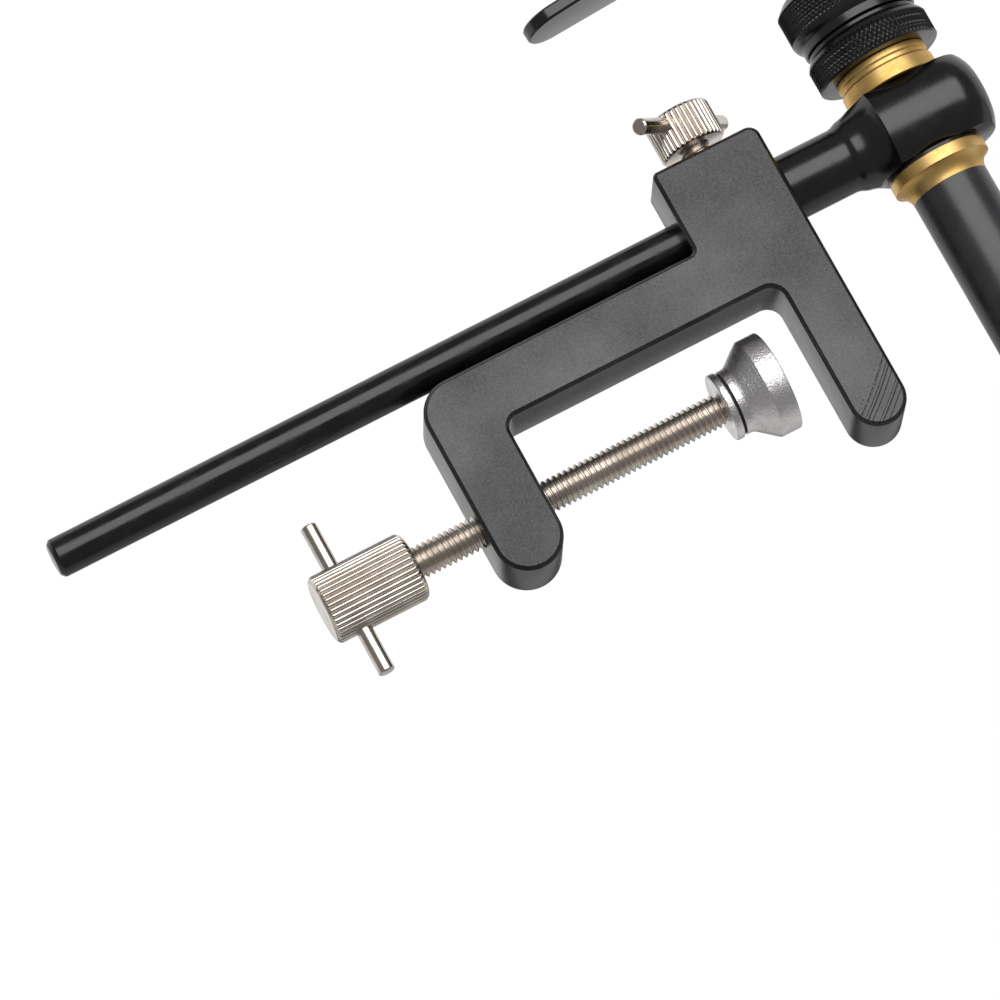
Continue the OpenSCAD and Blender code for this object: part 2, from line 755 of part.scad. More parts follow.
module adjuster_nut() {
    color("#1a1a1c") on_head_axis() difference() {
        translate([0, 0, adjuster_rear_x]) toothed_knob(adjuster_r, adjuster_w, adjuster_teeth);
        translate([0, 0, adjuster_rear_x + adjuster_wall])
            cylinder(r = journal_r + run_fit, h = adjuster_w);
        translate([0, 0, adjuster_rear_x - over])
            cylinder(r = drawbar_r + free_gap, h = adjuster_wall + 2 * over);
        translate([0, 0, adjuster_rear_x - over])
            cylinder(r = thrust_r + press_fit, h = over + thrust_sunk);
    }
}

module thrust_washer() {
    color("#a9abae") on_head_axis(thrust_rear_x) ring(thrust_r, drawbar_r + free_gap, thrust_t);
}

module drawbar() {
    start_x = eye_x - eye_grip;
    color("#8f9194") on_head_axis(start_x)
        bevelled_bar(drawbar_r, carrier_x + carrier_grip - start_x, end_bevel);
}

module drawbar_eye() {
    color("#8f9194") difference() {
        translate([stem_x, -eye_w / 2, head_rise]) union() {
            translate([pin_x, 0, 0]) rotate([-90, 0, 0]) cylinder(r = eye_r, h = eye_w);
            translate([pin_x, 0, -eye_r]) cube([eye_x - pin_x, eye_w, 2 * eye_r]);
        }
        on_head_axis(eye_x - eye_grip - face_fit) cylinder(r = drawbar_r + press_fit, h = eye_grip + over);
        on_cam_pin() cylinder(r = cam_pin_r + press_fit, h = lever_w, center = true);
    }
}

// Puts a piece drawn along Z onto the cam pin's axis
module on_cam_pin() {
    translate([stem_x + pin_x, 0, head_rise]) rotate([-90, 0, 0]) children();
}

module cam_pin() {
    pin_len = lever_w - free_gap;
    color("#c4c4c6") on_cam_pin() translate([0, 0, -pin_len / 2]) bevelled_bar(cam_pin_r, pin_len, end_bevel);
}

module spring_seat() {
    color("#b0b2b5") on_head_axis(seat_x) ring(seat_r, drawbar_r + press_fit, seat_t);
}

module return_spring() {
    color("#7f8184") on_head_axis(guide_x) ring(spring_r, spring_r - spring_wire, spring_len);
}

module jaw_carrier() {
    slot_h = jaw_tail_h + 2 * run_fit;
    slot_x = jaw_pivot_x - jaw_tail_r - free_gap;
    color("#77797c") difference() {
        on_head_axis(carrier_x) cylinder(r = carrier_r, h = carrier_len);
        on_head_axis(carrier_x - over) cylinder(r = drawbar_r + press_fit, h = carrier_grip + over + face_fit);
        translate([stem_x + slot_x, -carrier_r, head_rise - slot_h / 2])
            cube([carrier_len, 2 * carrier_r, slot_h]);
        at_jaw_pins() cylinder(r = jaw_pin_r + press_fit, h = 3 * carrier_r, center = true);
    }
}

// Puts a piece drawn along Z onto both jaw pins' axes
module at_jaw_pins() {
    for (side = [-1, 1]) {
        translate([stem_x + jaw_pivot_x, side * jaw_pivot_y, head_rise]) children();
    }
}

module jaw_pins() {
    color("#c4c4c6") at_jaw_pins() cylinder(r = jaw_pin_r, h = jaw_pin_len, center = true);
}

module jaw_spring() {
    spring_w = 2 * (jaw_spring_depth + jaw_split - free_gap);
    color("#7f8184") translate([stem_x + jaw_spring_x, -spring_w / 2, head_rise])
        rotate([-90, 0, 0]) cylinder(r = jaw_spring_r, h = spring_w);
}

// One hook jaw: half of a turned pencil, split at the middle plane
module jaw(side) {
    color("#aeb0b3") difference() {
        union() {
            intersection() {
                on_head_axis() turned([[0, carrier_front_x + free_gap], [jaw_r, carrier_front_x + free_gap],
                    [jaw_r, cone_start_x], [cone_end_r, cone_end_x], [cone_end_r, cone_end_x + jaw_land],
                    [jaw_tip_r, jaw_tip_x], [0, jaw_tip_x]]);
                jaw_half(side);
            }
            intersection() {
                jaw_half(side);
                translate([stem_x + jaw_pivot_x, side * jaw_pivot_y, head_rise - jaw_tail_h / 2]) union() {
                    cylinder(r = jaw_tail_r, h = jaw_tail_h);
                    translate([0, -jaw_tail_r, 0])
                        cube([carrier_front_x - jaw_pivot_x + over, 2 * jaw_tail_r, jaw_tail_h]);
                }
            }
        }
        translate([stem_x + jaw_pivot_x, side * jaw_pivot_y, head_rise - jaw_tail_h])
            cylinder(r = jaw_pin_r + run_fit, h = 2 * jaw_tail_h);
        translate([stem_x + jaw_spring_x, 0, head_rise]) rotate([-90, 0, 0])
            cylinder(r = jaw_spring_r + free_gap, h = 2 * jaw_spring_depth, center = true);
    }
}

// Room on one side of the jaws' middle plane
module jaw_half(side) {
    room = 2 * cone_end_r;
    translate([stem_x + carrier_x, side > 0 ? jaw_split : -room - jaw_split, head_rise - room])
        cube([jaw_tip_x - carrier_x + over, room, 2 * room]);
}

module jaw_near() {
    jaw(-1);
}

module jaw_far() {
    jaw(1);
}

// Slot of the cam lever that the drawbar's eye works in, in X and Y of the cam's own plane
module lever_slot() {
    slot_r = eye_r + free_gap;
    reach = 2 * cam_r;
    circle(slot_r);
    translate([0, -slot_r]) square([reach, slot_r + reach]);
    translate([-slot_r, 0]) square([slot_r + reach, reach]);
}

// Outline of the lever's blade, along X from the pin
module blade_outline() {
    end_x = lever_len - lever_end_r;
    half_w = lever_w / 2 - blade_step;
    translate([end_x, 0]) circle(lever_end_r);
    polygon([[cam_r / 2, -half_w], [end_x - lever_taper, -half_w], [end_x, -lever_end_r],
        [end_x, lever_end_r], [end_x - lever_taper, half_w], [cam_r / 2, half_w]]);
}

module cam_lever() {
    slot_w = eye_w + 2 * free_gap;
    color("#1c1c1e") translate([stem_x + pin_x, 0, head_rise]) difference() {
        union() {
            translate([cam_lift, -lever_w / 2, -cam_lift]) rotate([-90, 0, 0]) cylinder(r = cam_r, h = lever_w);
            rotate([0, -lever_lean, 0]) translate([-lever_t / 2, 0, 0]) rotate([0, 90, 0])
                linear_extrude(lever_t) blade_outline();
        }
        rotate([90, 0, 0]) cylinder(r = cam_pin_r + run_fit, h = 2 * lever_w, center = true);
        translate([0, slot_w / 2, 0]) rotate([90, 0, 0]) linear_extrude(slot_w) lever_slot();
    }
}

clamp_frame();
lock_tip();
lock_screw();
lock_knob();
lock_tommy_bar();
pressure_pad();
pad_ring();
pad_cover_disc();
clamp_screw();
pad_ball();
clamp_knob();
clamp_tommy_bar();
stem();
head_housing();
stem_set_screw();
front_bush();
rear_bush();
barrel();
front_washer();
front_collar();
rear_collar();
drag_washer();
rotation_knob();
knob_set_screw();
closing_sleeve();
drag_ring();
adjuster_nut();
thrust_washer();
drawbar();
drawbar_eye();
cam_pin();
spring_seat();
return_spring();
jaw_carrier();
jaw_pins();
jaw_spring();
cam_lever();
jaw_near();
jaw_far();
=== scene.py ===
"""Looks of a rotary fly tying vise on a C-clamp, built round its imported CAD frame.

Sizes are in millimetres and angles in degrees. Stations along the head's axis are counted from
the stem's axis, and heights from the clamp's table jaw.
"""
from __future__ import annotations

import logging
import math
from dataclasses import dataclass
from enum import Enum
from typing import Callable, Sequence

import bpy
import bmesh
import numpy as np
from mathutils import Matrix, Vector

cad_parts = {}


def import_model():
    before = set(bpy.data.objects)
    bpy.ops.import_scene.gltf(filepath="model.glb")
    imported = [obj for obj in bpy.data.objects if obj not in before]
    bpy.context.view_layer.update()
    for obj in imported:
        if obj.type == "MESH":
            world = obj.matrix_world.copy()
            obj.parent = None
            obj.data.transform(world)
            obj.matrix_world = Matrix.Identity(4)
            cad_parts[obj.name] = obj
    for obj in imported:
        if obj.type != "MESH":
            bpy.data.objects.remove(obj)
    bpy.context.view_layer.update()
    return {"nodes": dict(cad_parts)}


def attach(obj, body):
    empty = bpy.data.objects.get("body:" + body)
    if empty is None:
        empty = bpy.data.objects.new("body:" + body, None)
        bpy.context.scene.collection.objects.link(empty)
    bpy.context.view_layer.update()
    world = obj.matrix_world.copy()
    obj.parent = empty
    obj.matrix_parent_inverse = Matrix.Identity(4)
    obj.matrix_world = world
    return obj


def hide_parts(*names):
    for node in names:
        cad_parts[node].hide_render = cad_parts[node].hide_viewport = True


LOG = logging.getLogger("vise")
MM = 0.001
STEM_X = -39.6  # the stem's axis
HEAD_Z = 48.3  # height of the head's axis
LOCK_Z = 0.05  # height of the lock screw's axis
STEM_BORE_R = 4.8025
CREST_R, PITCH, DEPTH = 3.97, 1.411, 0.78  # both threads: 5/16 inch, 18 to the inch
SCREW_BORE_R = 4.02
BAR_R = 2.0  # tommy bars and cam pin
TOOTH = 0.62  # depth of the knobs' teeth
REACH = 20  # how far cutting tools go, out of every piece
CREASE = 35  # edges sharper than this are shaded sharp
CUT_CREASE = 30  # the same after a cut
TINY = 1e-4

Piece = bpy.types.Object
Tree = bpy.types.NodeTree
Link = bpy.types.Node | bpy.types.NodeSocket
Drive = tuple[Link, Link | None, Link]
Rows = np.ndarray
Pair = tuple[float, float]
Triple = tuple[float, float, float]
Corners = Sequence[Sequence[float]]
Relief = Callable[[Rows, Rows, Rows], Rows]


# Lines that pieces are turned about, and planes that plates lie in


@dataclass(frozen=True)
class Axis:
    """A line by its zero point, its unit vector and the side where the turning angle is zero."""

    origin: Triple
    along: Triple
    side: Triple

    def place(self, station: Rows, radius: Rows, angle: Rows) -> Rows:
        """Point = origin + station * along + radius * (cos(angle) * side + sin(angle) * third).

        Args:
            station: distances along the line.
            radius: distances from it.
            angle: angles round it, in radians.

        Returns:
            Points with a last dimension of three.
        """
        along, side = np.array(self.along), np.array(self.side)
        third = np.cross(along, side)
        station, radius, angle = np.broadcast_arrays(station, radius, angle)
        round_it = np.cos(angle)[..., None] * side + np.sin(angle)[..., None] * third
        return np.array(self.origin) + station[..., None] * along + radius[..., None] * round_it


class Line(Enum):
    """The vise's own lines."""

    STEM = Axis((STEM_X, 0, 0), (0, 0, 1), (1, 0, 0))
    HEAD = Axis((STEM_X, 0, HEAD_Z), (1, 0, 0), (0, 1, 0))
    CLAMP_SCREW = Axis((0, 0, 0), (0, 0, 1), (1, 0, 0))
    LOCK = Axis((STEM_X, 0, LOCK_Z), (1, 0, 0), (0, 1, 0))


@dataclass(frozen=True)
class Plane:
    """A plate's middle plane by its zero point and the vectors of its width, height and depth."""

    origin: Triple
    wide: Triple
    high: Triple
    deep: Triple

    def place(self, outline: Rows, depth: float) -> Rows:
        """Point = origin + x * wide + y * high + depth * deep for each x and y of an outline."""
        flat = outline @ np.array([self.wide, self.high])
        return np.array(self.origin) + flat + depth * np.array(self.deep)


# Making meshes from arrays


def build_mesh(name: str, points: Rows, groups: Sequence[Rows]) -> Piece:
    """Puts points and faces into a mesh with its faces outwards.

    The signed volume, the sum of each fan triangle's triple product over six, tells whether the
    faces point outwards; if it is negative their order is turned round.

    Args:
        name: the piece's name.
        points: vertex places, one row each.
        groups: arrays of vertex numbers, one face per row, each array with its own face size.

    Returns:
        The linked object, at the origin.
    """
    points = np.asarray(points, float).reshape(-1, 3)
    volume = 0.0
    for g in groups:
        for k in range(1, g.shape[1] - 1):
            product = np.cross(points[g[:, k]], points[g[:, k + 1]])
            volume += float(np.einsum("ij,ij->", points[g[:, 0]], product))
    if volume < 0:
        groups = [g[:, ::-1] for g in groups]
    sizes = np.concatenate([np.full(len(g), g.shape[1], np.int32) for g in groups])
    starts = np.concatenate([[0], np.cumsum(sizes)[:-1]]).astype(np.int32)
    corners = np.concatenate([g.reshape(-1) for g in groups]).astype(np.int32)
    mesh = bpy.data.meshes.new(name)
    mesh.vertices.add(len(points))
    mesh.vertices.foreach_set("co", (points * MM).astype(np.float32).reshape(-1))
    mesh.loops.add(len(corners))
    mesh.loops.foreach_set("vertex_index", corners)
    mesh.polygons.add(len(sizes))
    mesh.polygons.foreach_set("loop_start", starts)
    mesh.polygons.foreach_set("loop_total", sizes)
    mesh.update(calc_edges=True)
    mesh.validate()
    obj = bpy.data.objects.new(name, mesh)
    bpy.context.scene.collection.objects.link(obj)
    return shade(obj)


def shade(obj: Piece, crease: float = CREASE) -> Piece:
    """Smooth shading, but for large flat faces and sharp edges.

    Args:
        obj: the piece.
        crease: edges sharper than this stay sharp.

    Returns:
        The same piece.
    """
    mesh = obj.data
    total = np.zeros(len(mesh.polygons), np.int32)
    mesh.polygons.foreach_get("loop_total", total)
    mesh.polygons.foreach_set("use_smooth", total <= 4)
    mesh.set_sharp_from_angle(angle=math.radians(crease))
    return obj


def rounded(corners: Corners, radius: float = 0.15, steps: int = 4, loop: bool = False) -> Rows:
    """A profile with each corner rounded by a parabola that leaves both sides at their tangents.

    Args:
        corners: rows of station, radius and, if a corner has its own, its rounding.
        radius: rounding for corners without their own.
        steps: segments in each rounding.
        loop: the profile closes on itself.

    Returns:
        Rows of station and radius.
    """
    most = 0.45  # share of a side that a rounding may take
    rows: list[Rows] = []
    t = np.linspace(0, 1, steps + 1)[:, None]
    for i, corner in enumerate(corners):
        here = np.array(corner[:2], float)
        before = np.array(corners[i - 1][:2], float) - here
        after = np.array(corners[(i + 1) % len(corners)][:2], float) - here
        a, b = np.linalg.norm(before), np.linalg.norm(after)
        cut = min(corner[2] if len(corner) > 2 else radius, most * a, most * b)
        if cut < TINY or not loop and i in (0, len(corners) - 1):
            rows.append(here[None])
            continue
        start, end = here + before / a * cut, here + after / b * cut
        rows.append((1 - t) ** 2 * start + 2 * t * (1 - t) * here + t**2 * end)
    return np.concatenate(rows)


def divided(profile: Rows, spacing: float, low: float, high: float) -> Rows:
    """The profile with more points between two stations, so that a relief shows there.

    Args:
        profile: rows of station and radius.
        spacing: the longest step between points.
        low: lowest station that is divided.
        high: highest station that is divided.

    Returns:
        The divided profile.
    """
    slack = 1e-6
    rows = [profile[:1]]
    for a, b in zip(profile[:-1], profile[1:]):
        inside = min(a[0], b[0]) >= low - slack and max(a[0], b[0]) <= high + slack
        count = max(1, int(math.ceil(np.linalg.norm(b - a) / spacing))) if inside else 1
        rows.append(a + (b - a) * (np.arange(1, count + 1) / count)[:, None])
    return np.concatenate(rows)


def arc(centre: Pair, radius: float, start: float, end: float, steps: int = 16) -> list[Pair]:
    """Points at centre + radius * (cos, sin) of angles from start to end."""
    turns = np.radians(np.linspace(start, end, steps + 1))
    return [(centre[0] + radius * math.cos(t), centre[1] + radius * math.sin(t)) for t in turns]


def bevelled(low: float, high: float, radius: float, bevel: float) -> list[Pair]:
    """Corners of a plain round bar with bevelled ends, from one end's middle to the other's."""
    return [(low, 0), (low, radius - bevel), (low + bevel, radius), (high - bevel, radius),
            (high, radius - bevel), (high, 0)]


def ringed(corners: Corners, bore: float) -> Corners:
    """A ring's outer corners closed by its bore."""
    return [(corners[0][0], bore, 0.0), *corners, (corners[-1][0], bore, 0.0)]


def ring_faces(rows: int, columns: int, wrap_rows: bool = False) -> Rows:
    """Quads of a grid whose columns wrap round: corner numbers are row * columns + column.

    Args:
        rows: its rows.
        columns: its columns.
        wrap_rows: the last row meets the first.

    Returns:
        Four vertex numbers per face.
    """
    i = np.arange(rows if wrap_rows else rows - 1)[:, None]
    j = np.arange(columns)[None, :]
    here, there, far = i * columns, (i + 1) % rows * columns, (j + 1) % columns
    corners = np.broadcast_arrays(here + j, here + far, there + far, there + j)
    return np.stack(corners, -1).reshape(-1, 4)


def capped(rows: int, columns: int) -> list[Rows]:
    """Faces of a tube whose columns wrap round, with a flat cap at its first and last row."""
    order = np.arange(columns)[None, :]
    return [ring_faces(rows, columns), order[:, ::-1], order + (rows - 1) * columns]


def lathe(name: str, axis: Axis, profile: Rows, segments: int = 192, loop: bool = False,
          relief: Relief | None = None) -> Piece:
    """A surface of revolution: each profile point swept once round the axis, then moved by relief.

    Args:
        name: the piece's name.
        axis: the line it is turned about.
        profile: rows of station and radius; an open one starts and ends on the axis.
        segments: columns round the axis.
        loop: the profile closes on itself, clear of the axis.
        relief: new radii from stations, radii and angles, or None.

    Returns:
        The linked object.
    """
    body = profile if loop else profile[1:-1]
    angle = np.arange(segments)[None, :] * (2 * math.pi / segments)
    station, radius = body[:, :1] + 0 * angle, body[:, 1:] + 0 * angle
    if relief is not None:
        radius = relief(station, radius, angle + 0 * station)
    points = axis.place(station, radius, angle).reshape(-1, 3)
    groups = [ring_faces(len(body), segments, loop)]
    if not loop:
        ends = axis.place(profile[[0, -1], 0], np.zeros(2), np.zeros(2))
        points = np.concatenate([points, ends])
        j = np.arange(segments)
        after, last = (j + 1) % segments, (len(body) - 1) * segments
        pole = np.full(segments, len(points) - 1)
        groups += [np.stack([pole - 1, after, j], 1), np.stack([pole, last + j, last + after], 1)]
    return build_mesh(name, points, groups)


def rounded_outline(corners: Sequence[Triple], steps: int = 20) -> Rows:
    """A closed outline with true arcs at its corners.

    Each arc's centre lies on the corner's bisector, radius / sin(half angle) away, and its ends
    are radius / tan(half angle) along both sides.

    Args:
        corners: rows of x, y and radius, counter-clockwise.
        steps: segments in an arc.

    Returns:
        Rows of x and y.
    """
    straight = 1.569  # half angle in radians past which a corner is none
    rows: list[Rows] = []
    for i, (x, y, r) in enumerate(corners):
        here = np.array([x, y])
        a = np.array(corners[i - 1][:2]) - here
        b = np.array(corners[(i + 1) % len(corners)][:2]) - here
        a, b = a / np.linalg.norm(a), b / np.linalg.norm(b)
        half = math.acos(float(np.clip(a @ b, -1, 1))) / 2
        if r <= 0 or half > straight:
            rows.append(here[None])
            continue
        middle = here + (a + b) / np.linalg.norm(a + b) * r / math.sin(half)
        start, end = (here + side * r / math.tan(half) - middle for side in (a, b))
        first = math.atan2(start[1], start[0])
        sweep = (math.atan2(end[1], end[0]) - first + math.pi) % (2 * math.pi) - math.pi
        turn = first + sweep * np.linspace(0, 1, steps + 1)
        rows.append(middle + r * np.stack([np.cos(turn), np.sin(turn)], 1))
    outline = np.concatenate(rows)
    return outline[np.linalg.norm(outline - np.roll(outline, 1, 0), axis=1) > TINY]


def inset(outline: Rows, depth: float) -> Rows:
    """The outline moved inwards: each point slides along the mean of its two sides' normals.

    Args:
        outline: rows of x and y, counter-clockwise.
        depth: how far its sides move.

    Returns:
        As many rows.
    """
    before, after = outline - np.roll(outline, 1, 0), np.roll(outline, -1, 0) - outline
    before /= np.linalg.norm(before, axis=1)[:, None]
    after /= np.linalg.norm(after, axis=1)[:, None]
    mean = before + after
    mean /= np.linalg.norm(mean, axis=1)[:, None]
    stretch = np.clip(np.einsum("ij,ij->i", mean, before), 0.5, 1)
    return outline + np.stack([-mean[:, 1], mean[:, 0]], 1) * (depth / stretch)[:, None]


def plate(name: str, outline: Rows, half: float, bevel: float, plane: Plane,
          soft: float = 0.12) -> Piece:
    """A flat plate with bevelled rims: its outline carried over its depth, inset at both faces.

    Args:
        name: the piece's name.
        outline: rows of x and y, counter-clockwise.
        half: half of the thickness.
        bevel: width of the bevel.
        plane: its middle plane.
        soft: rounding of the bevel's own edges.

    Returns:
        The linked object.
    """
    inner = bevel + 0.4  # where each flat face's own rim lies
    section = rounded([(-half, inner), (-half, bevel), (bevel - half, 0), (half - bevel, 0),
                       (half, bevel), (half, inner)], soft, 3)
    rings = [plane.place(inset(outline, float(d)), h) for h, d in section]
    return build_mesh(name, np.concatenate(rings), capped(len(rings), len(outline)))


def finished(obj: Piece) -> None:
    """Applies the object's modifiers by taking its evaluated mesh.

    Args:
        obj: the piece.
    """
    graph = bpy.context.evaluated_depsgraph_get()
    mesh = bpy.data.meshes.new_from_object(obj.evaluated_get(graph))
    obj.modifiers.clear()
    old, obj.data = obj.data, mesh
    mesh.name = old.name + "_made"
    bpy.data.meshes.remove(old)


class Operation(Enum):
    """What a piece and its tools are combined to."""

    CUT = "DIFFERENCE"
    JOIN = "UNION"
    SHARE = "INTERSECT"


def combine(obj: Piece, tools: Sequence[Piece], operation: Operation = Operation.CUT) -> Piece:
    """Combines a piece with closed tools and removes them.

    Flat faces that this left split are joined again, so that they shade flat.

    Args:
        obj: the piece.
        tools: closed meshes.
        operation: what is done with them.

    Returns:
        The piece with its new mesh.
    """
    for tool in tools:
        mod = obj.modifiers.new("combine", "BOOLEAN")
        mod.operation, mod.solver, mod.object = operation.value, "EXACT", tool
    finished(obj)
    for mesh in [tool.data for tool in tools]:
        bpy.data.meshes.remove(mesh)  # its object goes with it
    merged = bmesh.new()
    merged.from_mesh(obj.data)
    bmesh.ops.dissolve_limit(merged, angle_limit=math.radians(0.05), verts=merged.verts,
                             edges=merged.edges)
    merged.to_mesh(obj.data)
    merged.free()
    return obj


def soften(obj: Piece, width: float, angle: float) -> None:
    """Rounds a piece's sharp edges.

    Args:
        obj: the piece.
        width: of the rounding.
        angle: edges sharper than this are rounded.
    """
    mod = obj.modifiers.new("soften", "BEVEL")
    mod.width, mod.segments, mod.limit_method = width * MM, 2, "ANGLE"
    mod.angle_limit = math.radians(angle)
    finished(obj)
    shade(obj, CUT_CREASE)


def rod(axis: Axis, start: float, end: float, radius: float) -> Piece:
    """A plain round rod, mostly a tool for cutting bores."""
    corners = [(start, 0), (start, radius), (end, radius), (end, 0)]
    return lathe("rod", axis, np.array(corners, float), 96)


def block(low: Triple, high: Triple) -> Piece:
    """A plain box tool.

    Args:
        low: its lowest corner.
        high: its highest corner.

    Returns:
        The linked object.
    """
    grid = np.array(np.meshgrid([0, 1], [0, 1], [0, 1], indexing="ij")).reshape(3, -1).T
    points = np.array(low, float) + grid * (np.array(high, float) - np.array(low, float))
    faces = [[0, 1, 3, 2], [4, 6, 7, 5], [0, 4, 5, 1], [2, 3, 7, 6], [0, 2, 6, 4], [1, 5, 7, 3]]
    return build_mesh("block", points, [np.array(faces)])


def joined(name: str, parts: Sequence[Piece]) -> Piece:
    """One object from several, its shells left as they are.

    Args:
        name: the new object's name.
        parts: the objects, which become one.

    Returns:
        The first of them.
    """
    with bpy.context.temp_override(active_object=parts[0], selected_editable_objects=list(parts)):
        bpy.ops.object.join()
    parts[0].name = name
    return parts[0]


# Reliefs


@dataclass(frozen=True)
class StraightKnurl:
    """Straight teeth: the crest less depth times (1 - |sin(teeth * angle / 2)| ** power)."""

    teeth: int
    depth: float
    low: float  # lowest station of the band
    high: float
    crest: float  # radius over the teeth
    power: float = 0.6  # the smaller it is, the narrower the grooves
    under: float = 0.35  # what lies deeper under the grooves than this stays

    def __call__(self, station: Rows, radius: Rows, angle: Rows) -> Rows:
        """New radii on the toothed band.

        Args:
            station: distances along the axis.
            radius: distances from it.
            angle: angles round it, in radians.

        Returns:
            The radii with the teeth.
        """
        groove = 1 - np.abs(np.sin(self.teeth * angle / 2)) ** self.power
        band = (station >= self.low) & (station <= self.high)
        band &= radius > self.crest - self.depth - self.under
        return np.where(band, np.minimum(radius, self.crest - self.depth * groove), radius)


@dataclass(frozen=True)
class DiamondKnurl:
    """Two crossing sets of V grooves: radius less depth times the deeper of both grooves.

    A groove's depth is 1 - |2 * frac(count * angle / 2 pi +- station / pitch) - 1|.
    """

    count: int  # grooves of one set round the piece
    low: float  # lowest station of the band
    high: float
    pitch: float = 1.75
    depth: float = 0.5
    least: float = 15.0  # anything inside this radius stays
    crown: float = 0.15  # the larger it is, the flatter the crests
    fade: float = 0.3  # length in which it fades out at both ends

    def __call__(self, station: Rows, radius: Rows, angle: Rows) -> Rows:
        """New radii on the knurled band.

        Args:
            station: distances along the axis.
            radius: distances from it.
            angle: angles round it, in radians.

        Returns:
            The radii with the grooves.
        """
        turn, rise = self.count * angle / (2 * math.pi), station / self.pitch
        one, two = (np.abs(2 * np.mod(turn + way * rise, 1) - 1) for way in (1, -1))
        deep = np.clip((1 + self.crown) * np.maximum(one, two) - self.crown, 0, 1)
        edge = np.clip(np.minimum(station - self.low, self.high - station) / self.fade, 0, 1)
        return np.where(radius > self.least, radius - self.depth * deep * edge, radius)


def thread(name: str, axis: Axis, start: float, end: float) -> Piece:
    """A right-handed helical thread with closed flat ends.

    Each row of the grid is a helix: station = start + pitch * (turn + phase + angle / 2 pi), held
    between both ends, and its radius is the crest less the depth of the thread's own section at
    that phase. After one turn it meets the row of the next turn.

    Args:
        name: the piece's name.
        axis: the screw's axis.
        start: lowest station.
        end: highest station.

    Returns:
        The linked object.
    """
    phase = np.array([0.0, 0.06, 0.12, 0.28, 0.44, 0.50, 0.56, 0.72, 0.88, 0.94])
    fall = np.array([0.0, 0.02, 0.10, 0.52, 0.93, 1.0, 0.93, 0.52, 0.10, 0.02])
    turns = np.arange(-1, math.ceil((end - start) / PITCH) + 1)
    along = (turns[:, None] + phase).reshape(-1, 1)
    rows, segments = len(along), 64
    j = np.arange(segments)[None, :]
    station = start + PITCH * (along + j / segments)
    fade = np.clip(np.minimum(station - start, end - station) / (0.5 * PITCH), 0, 1)
    core = CREST_R - DEPTH - 0.02
    radius = core + (CREST_R - core - DEPTH * np.tile(fall, len(turns))[:, None]) * fade
    angle = j * (2 * math.pi / segments)
    points = axis.place(np.clip(station, start, end), radius, angle).reshape(-1, 3)
    i = np.arange(rows - 1)[:, None]
    meet = i + np.where(j == segments - 1, len(phase), 0)
    here, there = i * segments + j, meet * segments + (j + 1) % segments
    quads = np.stack([here, there, there + segments, here + segments], -1)[meet + 1 < rows]
    wide = np.ptp(points[quads], axis=1).max(1) > 1e-5
    obj = build_mesh(name, points, [quads[wide]])
    mesh = bmesh.new()
    mesh.from_mesh(obj.data)
    bmesh.ops.remove_doubles(mesh, verts=mesh.verts, dist=1e-7)
    bmesh.ops.dissolve_degenerate(mesh, edges=mesh.edges, dist=1e-7)
    bmesh.ops.holes_fill(mesh, edges=[e for e in mesh.edges if e.is_boundary], sides=0)
    bmesh.ops.recalc_face_normals(mesh, faces=mesh.faces)
    mesh.to_mesh(obj.data)
    mesh.free()
    return shade(obj, 50)


# Finishes


def linear(code: str) -> tuple[float, ...]:
    """An sRGB hex colour as linear red, green, blue and alpha."""
    raw = (int(code[i : i + 2], 16) / 255 for i in (1, 3, 5))
    return (*(v / 12.92 if v <= 0.04045 else ((v + 0.055) / 1.055) ** 2.4 for v in raw), 1.0)


def fresh(owner: bpy.types.ID) -> Tree:
    """Empties a material's or world's node tree.

    Args:
        owner: the new material or world.

    Returns:
        Its tree.
    """
    owner.use_nodes = True
    owner.node_tree.nodes.clear()
    return owner.node_tree


def add(tree: Tree, kind: str, sockets: dict | None = None, **settings: object) -> bpy.types.Node:
    """Adds a node with its settings; each socket gets a value or a link.

    Args:
        tree: the node tree.
        kind: the node's type name after ShaderNode.
        sockets: input names or numbers to values, sockets or nodes, which give their first one.
        settings: the node's own settings.

    Returns:
        The node.
    """
    node = tree.nodes.new("ShaderNode" + kind)
    for key, value in settings.items():
        setattr(node, key, value)
    for key, value in (sockets or {}).items():
        if isinstance(value, bpy.types.Node):
            value = value.outputs[0]
        if isinstance(value, bpy.types.NodeSocket):
            tree.links.new(value, node.inputs[key])
        else:
            node.inputs[key].default_value = value
    return node


